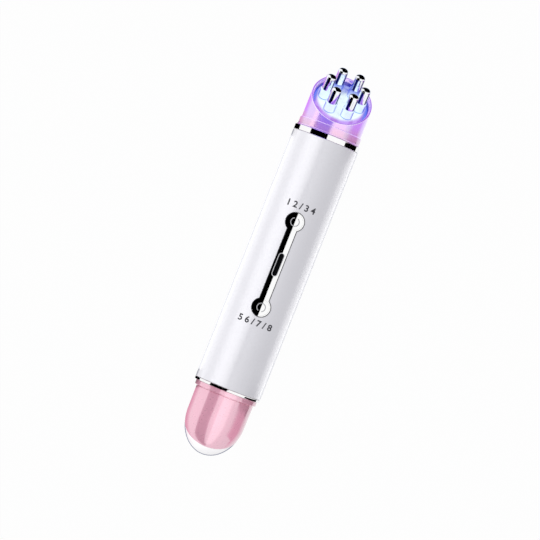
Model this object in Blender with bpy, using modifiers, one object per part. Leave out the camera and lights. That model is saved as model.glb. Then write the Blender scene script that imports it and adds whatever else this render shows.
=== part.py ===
"""Microcurrent eye massager: a round handle with six contact pins at the head and a warm tip at the foot.

All sizes are in metres. The pieces are placed in the upright frame of the empty handle_axis: z runs along
the handle from the tip of the foot, x points out of the front, where the control plate is, and y points
across. The empty itself lays the massager on its back, with the head towards +X and the front up.
"""

import math

import bmesh
import bpy

# Handle
HANDLE_LENGTH = 0.0961
HANDLE_RADIUS = 0.0125
HANDLE_WALL = 0.0015
HEAD_RING_THICKNESS = 0.0019
FOOT_RING_THICKNESS = 0.0009

# Foot
FOOT_LENGTH = 0.0230
FOOT_STEP = 0.0015
FOOT_RADIUS = HANDLE_RADIUS - FOOT_STEP
FOOT_DOME_HEIGHT = 0.0140
FOOT_TAPER = 0.0001
FOOT_DOME_RADIUS = FOOT_RADIUS - FOOT_TAPER
FOOT_WALL = 0.0016
FOOT_BORE_DROP = 0.0010
FOOT_FLANGE_STEP = 0.00075
FOOT_FLANGE_RADIUS = HANDLE_RADIUS - FOOT_FLANGE_STEP
FOOT_FLANGE_THICKNESS = 0.0017
FOOT_SPIGOT_LENGTH = 0.0082
FOOT_SLANT_STATION = 0.0067
FOOT_SLANT = math.radians(30)
TIP_PLUG_MARGIN = 0.0026
TIP_PLUG_HEIGHT = 0.0025
TIP_PLUG_FIT = 0.0002
PLUG_HOLE_REACH = 0.0021
HEATER_THICKNESS = 0.0008
HEATER_MARGIN = 0.0004
THERMISTOR_LENGTH = 0.0016
THERMISTOR_WIDTH = 0.0010
THERMISTOR_HEIGHT = 0.0007

# Head
HEAD_STEP = 0.0011
HEAD_RADIUS = HANDLE_RADIUS - HEAD_STEP
HEAD_SLANT = math.radians(38.5)
HEAD_FRONT_HEIGHT = 0.00163
HEAD_RIM_HEIGHT = HEAD_FRONT_HEIGHT + HEAD_RADIUS * math.tan(HEAD_SLANT)
HEAD_LIP_STEP = 0.0005
HEAD_LIP_RADIUS = HANDLE_RADIUS - HEAD_LIP_STEP
HEAD_LIP_THICKNESS = 0.0005
HEAD_FLANGE_STEP = 0.0007
HEAD_FLANGE_RADIUS = HANDLE_RADIUS - HEAD_FLANGE_STEP
HEAD_FLANGE_THICKNESS = 0.0027
HEAD_SPIGOT_LENGTH = 0.0101
HEAD_SPIGOT_WALL = 0.0018
FLANGE_CHAMFER = 0.0003
RIM_LIP_WALL = 0.0006
RIM_STEP_DEPTH = 0.0007
CUP_WALL = 0.0011
CUP_DEPTH = 0.0015
CUP_LEDGE = 0.0005
ELECTRODE_PLATE_THICKNESS = 0.0015
PEDESTAL_RADIUS = 0.00225
PEDESTAL_HEIGHT = 0.0037
PIN_RADIUS = 0.0019
PIN_LENGTH = 0.00625
PIN_DOME_HEIGHT = 0.0013
PIN_SHANK_RADIUS = 0.0007
PIN_SHANK_FIT = 0.0001
PIN_SPREAD_SHARE = 0.644
NUT_RADIUS = 0.00125
NUT_THICKNESS = 0.0007
NUT_WALL_GAP = 0.00106
LAMP_BOARD_THICKNESS = 0.0007
LAMP_SIDE = 0.0020
LAMP_GAP = 0.0012
LAMP_HEIGHT = 0.0007

# Seals on the two spigots
SEAL_RADIUS = 0.0004
SEAL_FROM_SPIGOT_END = 0.0040

# Control plate, buttons and window
BUTTON_SPACING = 0.0329
PLATE_END_RADIUS = 0.0035
PLATE_BAR_HALF_WIDTH = 0.00185
PLATE_THICKNESS = 0.00065
PLATE_PROUD = 0.0001
BUTTON_RADIUS = 0.00285
BUTTON_TRAVEL = 0.0004
BUTTON_FLANGE_RADIUS = 0.0035
BUTTON_FLANGE_THICKNESS = 0.0005
BUTTON_FLANGE_GAP = 0.0003
BUTTON_WELL_FIT = 0.00025
MARK_RADIUS = 0.00154
MARK_LINE = 0.00045
MARK_DEPTH = 0.00025
MARK_GAP = math.radians(56)
WINDOW_HALF_WIDTH = 0.00088
WINDOW_HALF_LENGTH = 0.00425

# Main board and what it carries
BOARD_THICKNESS = 0.0010
BOARD_SIDE_GAP = 0.00071
BOARD_FOOT_MARGIN = 0.0097
BOARD_HEAD_MARGIN = 0.0087
SWITCH_SIDE = 0.0045
SWITCH_HEIGHT = 0.0015
STEM_RADIUS = 0.0010
STEM_PROUD = 0.0005
STEM_DEPTH = 0.0005
STEM_FIT = 0.0001
INDICATOR_LENGTH = 0.0016
INDICATOR_WIDTH = 0.0008
INDICATOR_HEIGHT = 0.0007
CHIP_SIDE = 0.0040
CHIP_HEIGHT = 0.0009
CHIP_FROM_CENTRE = 0.0095
COIL_SIDE = 0.0040
COIL_HEIGHT = 0.0018
COIL_BEVEL = 0.00036
COIL_WINDOW_GAP = 0.00075
CAPACITOR_RADIUS = 0.0013
CAPACITOR_HEIGHT = 0.0020
CAPACITOR_BUTTON_GAP = 0.0004
SCREW_RADIUS = 0.0007
SCREW_FIT = 0.00012
SCREW_HEAD_RADIUS = 0.0013
SCREW_HEAD_HEIGHT = 0.0007
SCREW_DEPTH = 0.0017
SCREW_FROM_SIDE = 0.0017
SCREW_FROM_END = 0.0030

# Inner frame
FRAME_WALL = 0.0010
RAIL_HEIGHT = 0.0024
RAIL_BEYOND_SCREW = 0.0014
BULKHEAD_THICKNESS = 0.0015
BULKHEAD_DROP = 0.0006
RIB_THICKNESS = 0.0010

# Battery, charging socket and motor, from the foot end to the head end
SOCKET_LENGTH = 0.0090
SOCKET_WIDTH = 0.0032
SOCKET_DEPTH = 0.0072
SOCKET_WALL = 0.00035
SOCKET_FLOOR = 0.0008
SOCKET_TONGUE_THICKNESS = 0.0007
SOCKET_TONGUE_LENGTH = 0.0045
SOCKET_TONGUE_SIDE_GAP = 0.0010
SOCKET_RECESS = 0.0003
SOCKET_FIT = 0.0002
SOCKET_BOARD_LENGTH = 0.0110
SOCKET_BOARD_WIDTH = 0.0100
SOCKET_BOARD_THICKNESS = 0.0008
SOCKET_BOARD_FROM_END = 0.0011
BATTERY_BOARD_GAP = 0.00203
BATTERY_CHAMFER = 0.0004
LEAD_SPACE = 0.0024
LEAD_RADIUS = 0.00035
LEAD_BEND = 0.0009
LEAD_SIDE = 0.0025
LEAD_BEHIND_AXIS = 0.0015
MOTOR_RADIUS = 0.0035
MOTOR_LENGTH = 0.0080
SHAFT_RADIUS = 0.0005
SHAFT_FIT = 0.0001
SHAFT_DEPTH = 0.0020
WEIGHT_RADIUS = 0.0030
WEIGHT_LENGTH = 0.0035
WEIGHT_FROM_MOTOR = 0.0008
WEIGHT_LAND = 0.0010
MOTOR_FROM_FRAME_END = 0.0012

# Flat leads
RIBBON_THICKNESS = 0.0002
RIBBON_WIDTH = 0.0050
RIBBON_END_GAP = 0.0004

# Clearances and what the cutters need
SEAM = 0.0001
SPIGOT_FIT = 0.0002
SEAT = 0.0002
END_GAP = 0.0003
OVERRUN = 0.0010
MERGE = 0.000001
SHARP_ANGLE = math.radians(35)

# Counts of flats and steps
FACETS = 48
ROUND_FACETS = 24
PIN_FACETS = 20
SMALL_FACETS = 16
SEAL_FACETS = 32
NUT_FACETS = 6
DOME_STEPS = 7
PIN_DOME_STEPS = 4
SEAL_STEPS = 6
ARC_STEPS = 16
MARK_STEPS = 14
RIBBON_STEPS = 12
LEAD_STEPS = 4

# Stations along the handle, from the tip of the foot
foot_flange_top = FOOT_LENGTH + FOOT_FLANGE_THICKNESS
foot_ring_low = foot_flange_top + SEAM
foot_ring_high = foot_ring_low + FOOT_RING_THICKNESS
shell_low = foot_ring_high + SEAM
shell_high = shell_low + HANDLE_LENGTH
head_ring_low = shell_high + SEAM
head_ring_high = head_ring_low + HEAD_RING_THICKNESS
head_lip_low = head_ring_high + SEAM
head_flange_low = head_lip_low + HEAD_LIP_THICKNESS
head_flange_high = head_flange_low + HEAD_FLANGE_THICKNESS
rim_station = head_flange_high + HEAD_RIM_HEIGHT
foot_spigot_high = foot_flange_top + FOOT_SPIGOT_LENGTH
head_spigot_low = head_lip_low - HEAD_SPIGOT_LENGTH
frame_low = foot_spigot_high + END_GAP
frame_high = head_spigot_low - END_GAP
plate_centre = (shell_low + shell_high) / 2
board_low = frame_low + BOARD_FOOT_MARGIN
board_high = frame_high - BOARD_HEAD_MARGIN

# Radii that follow from the handle
handle_bore = HANDLE_RADIUS - HANDLE_WALL
spigot_radius = handle_bore - SPIGOT_FIT
frame_radius = handle_bore - SPIGOT_FIT
frame_bore = frame_radius - FRAME_WALL
seal_centre_radius = handle_bore - SEAM - SEAL_RADIUS
seal_groove_radius = seal_centre_radius - SEAL_RADIUS - SEAM
plate_skin_radius = HANDLE_RADIUS + PLATE_PROUD
plate_floor_radius = plate_skin_radius - PLATE_THICKNESS
recess_radius = plate_floor_radius - SEAM

# Heights above the axis, from the button flange down to the rails
flange_wall_height = math.sqrt(handle_bore**2 - BUTTON_FLANGE_RADIUS**2)
button_flange_high = flange_wall_height - BUTTON_FLANGE_GAP
button_flange_low = button_flange_high - BUTTON_FLANGE_THICKNESS
stem_high = button_flange_low - SEAM
switch_high = stem_high - STEM_PROUD
switch_low = switch_high - SWITCH_HEIGHT
board_top = switch_low - SEAM
board_bottom = board_top - BOARD_THICKNESS
rail_top = board_bottom - SEAM
board_half_width = math.sqrt(handle_bore**2 - board_top**2) - BOARD_SIDE_GAP
indicator_low = board_top + SEAM
indicator_high = indicator_low + INDICATOR_HEIGHT

# The battery, motor and socket lie along the back of the frame
socket_board_low = frame_low + SOCKET_BOARD_FROM_END
socket_station = socket_board_low + SOCKET_BOARD_LENGTH / 2
socket_mouth = HANDLE_RADIUS - SOCKET_RECESS
socket_inner = socket_mouth - SOCKET_DEPTH
foot_bulkhead_low = socket_board_low + SOCKET_BOARD_LENGTH + END_GAP
foot_bulkhead_high = foot_bulkhead_low + BULKHEAD_THICKNESS
weight_high = frame_high - MOTOR_FROM_FRAME_END
weight_low = weight_high - WEIGHT_LENGTH
motor_high = weight_low - WEIGHT_FROM_MOTOR
motor_low = motor_high - MOTOR_LENGTH
head_bulkhead_high = motor_low - END_GAP
head_bulkhead_low = head_bulkhead_high - BULKHEAD_THICKNESS
battery_low = foot_bulkhead_high + END_GAP
battery_high = head_bulkhead_low - LEAD_SPACE
battery_radius = (frame_bore + board_bottom - SEAT - BATTERY_BOARD_GAP) / 2
battery_x = -(frame_bore - battery_radius - SEAT)
motor_x = -(frame_bore - MOTOR_RADIUS - SEAT)

# Depths below the slanted rim of the head, square to it
head_slope = math.tan(HEAD_SLANT)
cup_floor = -CUP_DEPTH
electrode_plate_low = cup_floor - ELECTRODE_PLATE_THICKNESS
pedestal_high = cup_floor + PEDESTAL_HEIGHT
pin_low = pedestal_high + SEAM
pin_high = pin_low + PIN_LENGTH
nut_high = electrode_plate_low - SEAM
nut_low = nut_high - NUT_THICKNESS
lamp_board_high = nut_low - SEAM
lamp_board_low = lamp_board_high - LAMP_BOARD_THICKNESS
pin_end = lamp_board_low - SEAT
lamp_low = lamp_board_high + SEAM
cup_radius = HEAD_RADIUS - CUP_WALL
head_bore = cup_radius - CUP_LEDGE
head_spigot_bore = spigot_radius - HEAD_SPIGOT_WALL
pin_spread = PIN_SPREAD_SHARE * cup_radius
bore_reach = math.sqrt(head_bore**2 - (pin_spread / 2) ** 2) / math.cos(HEAD_SLANT)
pin_row = bore_reach + nut_low * head_slope - NUT_RADIUS - NUT_WALL_GAP
lamp_board_lowest = rim_station - head_bore * head_slope + lamp_board_low / math.cos(HEAD_SLANT)
head_bore_step = lamp_board_lowest - OVERRUN

# The slanted seam of the foot is an ellipse, whose middle lies behind the axis
seam_drop = FOOT_DOME_HEIGHT - FOOT_SLANT_STATION
seam_form = (math.cos(FOOT_SLANT) / FOOT_DOME_RADIUS) ** 2
seam_form += (math.sin(FOOT_SLANT) / FOOT_DOME_HEIGHT) ** 2
seam_back = seam_drop * math.sin(FOOT_SLANT) / FOOT_DOME_HEIGHT**2 / seam_form
seam_middle_drop = seam_drop - seam_back * math.sin(FOOT_SLANT)
seam_middle_share = 1 - (seam_middle_drop / FOOT_DOME_HEIGHT) ** 2
seam_middle_share -= (seam_back * math.cos(FOOT_SLANT) / FOOT_DOME_RADIUS) ** 2
seam_half_width = FOOT_DOME_RADIUS * math.sqrt(seam_middle_share)
tip_plug_radius = seam_half_width - TIP_PLUG_MARGIN

# Heights above that seam, square to it
foot_bore = spigot_radius - FOOT_WALL
foot_bore_floor = FOOT_DOME_HEIGHT - FOOT_BORE_DROP
plug_hole_radius = tip_plug_radius + TIP_PLUG_FIT
plug_hole_high = (seam_middle_drop - FOOT_BORE_DROP) / math.cos(FOOT_SLANT) + PLUG_HOLE_REACH
heater_low = TIP_PLUG_HEIGHT + SEAM
heater_high = heater_low + HEATER_THICKNESS
thermistor_low = heater_high + SEAM

# Colour, roughness and metallic value of each finish
PEARL = ((0.92, 0.91, 0.94), 0.28, 0.0)
CHROME = ((0.90, 0.90, 0.92), 0.07, 1.0)
PINK_CLEAR = ((0.90, 0.62, 0.82), 0.15, 0.0)
PINK = ((0.93, 0.66, 0.76), 0.22, 0.0)
CLEAR = ((0.86, 0.90, 0.98), 0.12, 0.0)
MILKY = ((0.95, 0.95, 0.96), 0.10, 0.0)
SMOKE = ((0.03, 0.03, 0.04), 0.10, 0.0)
BOARD_GREEN = ((0.05, 0.28, 0.14), 0.45, 0.0)
BLACK_RESIN = ((0.03, 0.03, 0.03), 0.45, 0.0)
WHITE_NYLON = ((0.85, 0.85, 0.83), 0.50, 0.0)
STEEL = ((0.62, 0.62, 0.64), 0.30, 1.0)
BRASS = ((0.80, 0.62, 0.28), 0.30, 1.0)
CELL_BLUE = ((0.10, 0.25, 0.60), 0.40, 0.0)
SILICONE = ((0.20, 0.20, 0.22), 0.70, 0.0)
FERRITE = ((0.16, 0.16, 0.17), 0.60, 0.0)
ALUMINIUM = ((0.78, 0.79, 0.80), 0.35, 1.0)
LAMP_WHITE = ((0.80, 0.90, 1.00), 0.20, 0.0)
AMBER = ((0.75, 0.45, 0.12), 0.40, 0.0)
LEAD_RED = ((0.70, 0.06, 0.05), 0.50, 0.0)
LEAD_BLACK = ((0.04, 0.04, 0.04), 0.50, 0.0)

# A slab's outline lies across and along the handle, and its thickness points out of the front
FRONT_TURN = (math.pi / 2, 0, math.pi / 2)
# A ribbon's outline lies out and along the handle, and its width points across
SIDE_TURN = (math.pi / 2, 0, 0)

for old in list(bpy.data.objects):
    bpy.data.objects.remove(old, do_unlink=True)


def new_collection(name):
    made = bpy.data.collections.new(name)
    bpy.context.scene.collection.children.link(made)
    return made


def new_empty(name, location, rotation, parent=None):
    made = bpy.data.objects.new(name, None)
    parts.objects.link(made)
    made.parent = parent
    made.location = location
    made.rotation_euler = rotation
    return made


def add_object(name, data, parent, finish, location=(0, 0, 0), rotation=(0, 0, 0)):
    """A piece with its own material or, with no finish, a cutter."""
    made = bpy.data.objects.new(name, data)
    made.parent = parent
    made.location = location
    made.rotation_euler = rotation
    if finish is None:
        cutters.objects.link(made)
        made.hide_render = True
        made.display_type = "WIRE"
        return made
    parts.objects.link(made)
    colour, roughness, metallic = finish
    material = bpy.data.materials.new(name)
    material.use_nodes = True
    shader = material.node_tree.nodes["Principled BSDF"]
    shader.inputs["Base Color"].default_value = (*colour, 1)
    shader.inputs["Roughness"].default_value = roughness
    shader.inputs["Metallic"].default_value = metallic
    data.materials.append(material)
    return made


def mesh_from(name, shape, smooth=True):
    """A mesh from a bmesh, which it frees."""
    bmesh.ops.recalc_face_normals(shape, faces=shape.faces)
    mesh = bpy.data.meshes.new(name)
    shape.to_mesh(mesh)
    shape.free()
    if smooth:
        mesh.shade_smooth()
        mesh.set_sharp_from_angle(angle=SHARP_ANGLE)
    return mesh


def turned(name, profile, parent, finish=None, facets=FACETS, closed=False, location=(0, 0, 0)):
    """A turned piece from (radius to a flat, height) points that run down its outer side."""
    corner = 1 / math.cos(math.pi / facets)
    points = [(radius * corner, 0, height) for radius, height in profile]
    edges = [(i, i + 1) for i in range(len(points) - 1)]
    if closed:
        edges.append((len(points) - 1, 0))
    mesh = bpy.data.meshes.new(name)
    mesh.from_pydata(points, edges, [])
    made = add_object(name, mesh, parent, finish, location, (0, 0, math.pi / facets))
    screw = made.modifiers.new("turn", "SCREW")
    screw.angle = 2 * math.pi
    screw.steps = facets
    screw.render_steps = facets
    screw.use_merge_vertices = True
    screw.merge_threshold = MERGE
    return made


def add_rod(shape, radius, low, high, place, facets, slope=0):
    """Adds a cylinder between two heights to a bmesh; its ends drop towards +x by the slope."""
    corner = 1 / math.cos(math.pi / facets)
    wide = radius * corner
    made = bmesh.ops.create_cone(
        shape, cap_ends=True, segments=facets, radius1=wide, radius2=wide, depth=high - low
    )
    turn = math.pi / facets
    for vertex in made["verts"]:
        x, y, z = vertex.co
        across = x * math.cos(turn) - y * math.sin(turn)
        up = x * math.sin(turn) + y * math.cos(turn)
        vertex.co = (across + place[0], up + place[1], z + (low + high) / 2 - across * slope)


def rods(
    name,
    radius,
    low,
    high,
    places,
    parent,
    finish=None,
    facets=SMALL_FACETS,
    location=(0, 0, 0),
    rotation=(0, 0, 0),
):
    """Equal cylinders that stand at the given (x, y) places, as one mesh."""
    shape = bmesh.new()
    for place in places:
        add_rod(shape, radius, low, high, place, facets)
    return add_object(name, mesh_from(name, shape), parent, finish, location, rotation)


def rod(name, radius, low, high, parent, finish=None, facets=SMALL_FACETS, **placing):
    return rods(name, radius, low, high, [(0, 0)], parent, finish, facets, **placing)


def slanted_rod(name, radius, low, high, slope, parent, finish=None):
    """A full-size cylinder round the handle's axis whose two ends are slanted alike."""
    shape = bmesh.new()
    add_rod(shape, radius, low, high, (0, 0), FACETS, slope)
    return add_object(name, mesh_from(name, shape), parent, finish)


def blocks(name, boxes, parent, finish=None, bevel=0):
    """Boxes given by their low and high corners, as one mesh."""
    shape = bmesh.new()
    for low, high in boxes:
        made = bmesh.ops.create_cube(shape, size=1)
        for vertex in made["verts"]:
            vertex.co = [a + (b - a) * (part + 0.5) for a, b, part in zip(low, high, vertex.co)]
    piece = add_object(name, mesh_from(name, shape, smooth=False), parent, finish)
    if bevel:
        rounding = piece.modifiers.new("edges", "BEVEL")
        rounding.width = bevel
        rounding.segments = 1
    return piece


def block(name, low, high, parent, finish=None, bevel=0):
    return blocks(name, [(low, high)], parent, finish, bevel)


def slab(name, outline, low, high, parent, finish=None, station=0, turn=FRONT_TURN):
    """An outline given a thickness, which runs from low to high out of the plane of the outline."""
    curve = bpy.data.curves.new(name, "CURVE")
    curve.dimensions = "2D"
    curve.fill_mode = "BOTH"
    curve.extrude = (high - low) / 2
    spline = curve.splines.new("POLY")
    spline.points.add(len(outline) - 1)
    for point, (across, along) in zip(spline.points, outline):
        point.co = (across, along, 0, 1)
    spline.use_cyclic_u = True
    flat = bpy.data.objects.new(name, curve)
    cutters.objects.link(flat)
    bpy.context.view_layer.update()
    graph = bpy.context.evaluated_depsgraph_get()
    mesh = bpy.data.meshes.new_from_object(flat.evaluated_get(graph))
    bpy.data.objects.remove(flat)
    bpy.data.curves.remove(curve)
    shape = bmesh.new()
    shape.from_mesh(mesh)
    bpy.data.meshes.remove(mesh)
    bmesh.ops.remove_doubles(shape, verts=shape.verts, dist=MERGE)
    middle = (low + high) / 2
    place = (middle, 0, station) if turn == FRONT_TURN else (0, -middle, station)
    return add_object(name, mesh_from(name, shape), parent, finish, place, turn)


def combine(piece, other, operation):
    boolean = piece.modifiers.new(f"{operation.lower()} {other.name}", "BOOLEAN")
    boolean.operation = operation
    boolean.object = other
    boolean.solver = "EXACT"
    return piece


def cut(piece, *tools):
    for tool in tools:
        combine(piece, tool, "DIFFERENCE")
    return piece


def join(piece, *others):
    for other in others:
        combine(piece, other, "UNION")
    return piece


def keep_inside(piece, other):
    return combine(piece, other, "INTERSECT")


def arc(radius, centre, start, sweep, steps):
    """Points on an arc round a (x, y) centre."""
    turns = [start + sweep * i / steps for i in range(steps + 1)]
    return [(centre[0] + radius * math.cos(a), centre[1] + radius * math.sin(a)) for a in turns]


def barbell(end_radius, half_width, half_span):
    """Outline of two round ends joined by a bar. With ends as wide as the bar it is a capsule."""
    meet = math.asin(min(half_width / end_radius, 1))
    sweep = 2 * math.pi - 2 * meet
    upper = arc(end_radius, (0, half_span), meet - math.pi / 2, sweep, ARC_STEPS)
    lower = arc(end_radius, (0, -half_span), meet + math.pi / 2, sweep, ARC_STEPS)
    return upper + lower


def capsule(half_width, half_length):
    return barbell(half_width, half_width, half_length - half_width)


def open_circle(radius, line, gap, gap_turn):
    """Outline of a circle drawn with a thick line and broken by a gap."""
    start = gap_turn + gap / 2
    sweep = 2 * math.pi - gap
    outer = arc(radius + line / 2, (0, 0), start, sweep, MARK_STEPS)
    inner = arc(radius - line / 2, (0, 0), start + sweep, -sweep, MARK_STEPS)
    return outer + inner


def s_bend(start, end):
    """Points of a lead that leaves its start and reaches its end along the handle, as (out, along)."""
    reach = (end[1] - start[1]) / 2
    corners = (start, (start[0], start[1] + reach), (end[0], end[1] - reach), end)
    points = []
    for step in range(RIBBON_STEPS + 1):
        t = step / RIBBON_STEPS
        weights = ((1 - t) ** 3, 3 * t * (1 - t) ** 2, 3 * t**2 * (1 - t), t**3)
        points.append([sum(w * corner[axis] for w, corner in zip(weights, corners)) for axis in (0, 1)])
    return points


def ribbon(name, start, end):
    """A flat lead in the middle plane of the massager."""
    centres = s_bend(start, end)
    sides = ([], [])
    for i, (out, along) in enumerate(centres):
        before = centres[max(i - 1, 0)]
        after = centres[min(i + 1, RIBBON_STEPS)]
        run = math.hypot(after[0] - before[0], after[1] - before[1])
        normal = ((before[1] - after[1]) / run, (after[0] - before[0]) / run)
        for side, sign in zip(sides, (1, -1)):
            offset = sign * RIBBON_THICKNESS / 2
            side.append((out + offset * normal[0], along + offset * normal[1]))
    outline = sides[0] + sides[1][::-1]
    return slab(name, outline, -RIBBON_WIDTH / 2, RIBBON_WIDTH / 2, axis, AMBER, 0, SIDE_TURN)


def tube(name, points, radius, parent, finish):
    curve = bpy.data.curves.new(name, "CURVE")
    curve.dimensions = "3D"
    curve.bevel_depth = radius
    curve.bevel_resolution = 1
    curve.use_fill_caps = True
    spline = curve.splines.new("POLY")
    spline.points.add(len(points) - 1)
    for point, place in zip(spline.points, points):
        point.co = (*place, 1)
    return add_object(name, curve, parent, finish)


def dome_profile(radius, height, steps):
    """Quarter of an ellipse from its widest point down to the axis, as (radius, height) points."""
    turns = [math.pi / 2 * i / steps for i in range(steps + 1)]
    return [(radius * math.cos(a), height * (1 - math.sin(a))) for a in turns]


parts = new_collection("microcurrent_eye_massager")
cutters = new_collection("cutters")
axis = new_empty("handle_axis", (-plate_centre, 0, HANDLE_RADIUS), (0, -math.pi / 2, math.pi))
head_tilt = new_empty("head_tilt", (0, 0, rim_station), (0, HEAD_SLANT, 0), axis)
foot_tilt = new_empty("foot_tilt", (0, 0, FOOT_SLANT_STATION), (0, FOOT_SLANT, 0), axis)


def make_handle_shell():
    """The long tube, with its plate recess, button wells, light slot and socket slot."""
    recess = slab(
        "recess_cutter",
        barbell(PLATE_END_RADIUS + SEAM, PLATE_BAR_HALF_WIDTH + SEAM, BUTTON_SPACING / 2),
        0,
        HANDLE_RADIUS + OVERRUN,
        axis,
        station=plate_centre,
    )
    recess_outer = HANDLE_RADIUS + 2 * OVERRUN
    recess_low = plate_centre - BUTTON_SPACING / 2 - PLATE_END_RADIUS - OVERRUN
    recess_high = plate_centre + BUTTON_SPACING / 2 + PLATE_END_RADIUS + OVERRUN
    ring_profile = [
        (recess_outer, recess_high),
        (recess_outer, recess_low),
        (recess_radius, recess_low),
        (recess_radius, recess_high),
    ]
    keep_inside(recess, turned("recess_ring", ring_profile, axis, closed=True))
    wells = rods(
        "well_cutter",
        BUTTON_RADIUS + BUTTON_WELL_FIT,
        0,
        HANDLE_RADIUS + OVERRUN,
        [(0, -BUTTON_SPACING / 2), (0, BUTTON_SPACING / 2)],
        axis,
        facets=ROUND_FACETS,
        location=(0, 0, plate_centre),
        rotation=FRONT_TURN,
    )
    light_slot = slab(
        "light_slot_cutter",
        capsule(WINDOW_HALF_WIDTH + SEAM, WINDOW_HALF_LENGTH + SEAM),
        0,
        HANDLE_RADIUS + OVERRUN,
        axis,
        station=plate_centre,
    )
    socket_slot = slab(
        "socket_slot_cutter",
        capsule(SOCKET_WIDTH / 2 + SOCKET_FIT, SOCKET_LENGTH / 2 + SOCKET_FIT),
        -HANDLE_RADIUS - OVERRUN,
        -frame_bore + OVERRUN,
        axis,
        station=socket_station,
    )
    profile = [
        (HANDLE_RADIUS, shell_high),
        (HANDLE_RADIUS, shell_low),
        (handle_bore, shell_low),
        (handle_bore, shell_high),
    ]
    shell = turned("handle_shell", profile, axis, PEARL, closed=True)
    cut(shell, recess, wells, light_slot, socket_slot)
    return light_slot, socket_slot


def make_rings():
    """The two bright bands that close the ends of the handle."""
    spans = {"head_ring": (head_ring_low, head_ring_high), "foot_ring": (foot_ring_low, foot_ring_high)}
    for name, (low, high) in spans.items():
        profile = [(HANDLE_RADIUS, high), (HANDLE_RADIUS, low), (handle_bore, low), (handle_bore, high)]
        turned(name, profile, axis, CHROME, closed=True)


def make_control_plate(light_slot):
    """The barbell plate, which follows the round of the handle."""
    skin_profile = [
        (plate_skin_radius, shell_high),
        (plate_skin_radius, shell_low),
        (plate_floor_radius, shell_low),
        (plate_floor_radius, shell_high),
    ]
    skin = turned("plate_skin", skin_profile, axis, closed=True)
    outline = barbell(PLATE_END_RADIUS, PLATE_BAR_HALF_WIDTH, BUTTON_SPACING / 2)
    plate = slab(
        "control_plate", outline, 0, HANDLE_RADIUS + OVERRUN, axis, CHROME, station=plate_centre
    )
    holes = rods(
        "plate_hole_cutter",
        BUTTON_RADIUS + SEAM,
        0,
        HANDLE_RADIUS + 2 * OVERRUN,
        [(0, -BUTTON_SPACING / 2), (0, BUTTON_SPACING / 2)],
        axis,
        facets=ROUND_FACETS,
        location=(0, 0, plate_centre),
        rotation=FRONT_TURN,
    )
    keep_inside(plate, skin)
    cut(plate, holes, light_slot)


def make_button(name, side):
    """A push button with a retaining flange and an engraved open circle, one travel above its stop."""
    station = plate_centre + side * BUTTON_SPACING / 2
    place = (0, 0, station)
    button = rod(
        name,
        BUTTON_RADIUS,
        button_flange_low + BUTTON_FLANGE_THICKNESS / 2,
        HANDLE_RADIUS + OVERRUN,
        axis,
        CHROME,
        ROUND_FACETS,
        location=place,
        rotation=FRONT_TURN,
    )
    skin_low = station - PLATE_END_RADIUS
    skin_high = station + PLATE_END_RADIUS
    skin_profile = [
        (0, skin_high),
        (plate_skin_radius, skin_high),
        (plate_skin_radius, skin_low),
        (0, skin_low),
    ]
    keep_inside(button, turned(f"{name}_skin", skin_profile, axis))
    flange = rod(
        f"{name}_flange", BUTTON_FLANGE_RADIUS, button_flange_low, button_flange_high, axis,
        facets=ROUND_FACETS, location=place, rotation=FRONT_TURN,
    )
    mark = slab(
        f"{name}_mark",
        open_circle(MARK_RADIUS, MARK_LINE, MARK_GAP, side * math.pi / 2),
        plate_skin_radius - MARK_DEPTH,
        plate_skin_radius + OVERRUN,
        axis,
        station=station,
    )
    join(button, flange)
    cut(button, mark)


def make_light_window():
    """The dark capsule in the plate, which runs down to the lamp on the board."""
    window = slab(
        "light_window",
        capsule(WINDOW_HALF_WIDTH, WINDOW_HALF_LENGTH),
        indicator_high + END_GAP,
        HANDLE_RADIUS + OVERRUN,
        axis,
        SMOKE,
        station=plate_centre,
    )
    low = plate_centre - WINDOW_HALF_LENGTH - OVERRUN
    high = plate_centre + WINDOW_HALF_LENGTH + OVERRUN
    skin_profile = [(0, high), (plate_skin_radius, high), (plate_skin_radius, low), (0, low)]
    keep_inside(window, turned("window_skin", skin_profile, axis))


def make_inner_frame(socket_slot):
    """The trough that slides into the handle, with its rails, bulkheads and ribs."""
    profile = [
        (frame_radius, frame_high),
        (frame_radius, frame_low),
        (frame_bore, frame_low),
        (frame_bore, frame_high),
    ]
    frame = turned("inner_frame", profile, axis, WHITE_NYLON, closed=True)
    core_radius = frame_radius - FRAME_WALL / 2
    core = rod("frame_core", core_radius, frame_low, frame_high, axis, facets=FACETS)
    rail_y = board_half_width - SCREW_FROM_SIDE - RAIL_BEYOND_SCREW
    rail_low = rail_top - RAIL_HEIGHT
    motor_y = MOTOR_RADIUS + SEAT
    socket_y = SOCKET_BOARD_WIDTH / 2
    socket_rib_low = socket_board_low
    socket_rib_high = socket_board_low + SOCKET_BOARD_LENGTH
    far = frame_radius
    boxes = []
    for side in (-1, 1):
        boxes.append(((rail_low, side * rail_y, board_low), (far, side * far, board_high)))
        outer_y = motor_y + RIB_THICKNESS
        boxes.append(((-far, side * motor_y, motor_low), (motor_x, side * outer_y, motor_high)))
        boxes.append(
            (
                (-far, side * (socket_y - RIB_THICKNESS), socket_rib_low),
                (-socket_inner - SEAM, side * socket_y, socket_rib_high),
            )
        )
    ribs = keep_inside(blocks("frame_ribs", boxes, axis), core)
    walls = [(foot_bulkhead_low, foot_bulkhead_high), (head_bulkhead_low, head_bulkhead_high)]
    bulkhead_boxes = [((-far, -far, low), (rail_top - BULKHEAD_DROP, far, high)) for low, high in walls]
    bulkheads = keep_inside(blocks("frame_bulkheads", bulkhead_boxes, axis), core)
    front = block(
        "frame_front_cutter",
        (rail_top, -far - OVERRUN, frame_low - OVERRUN),
        (far + OVERRUN, far + OVERRUN, frame_high + OVERRUN),
        axis,
    )
    join(frame, ribs, bulkheads)
    cut(frame, front, screw_hole_cutter, socket_slot)


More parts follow.
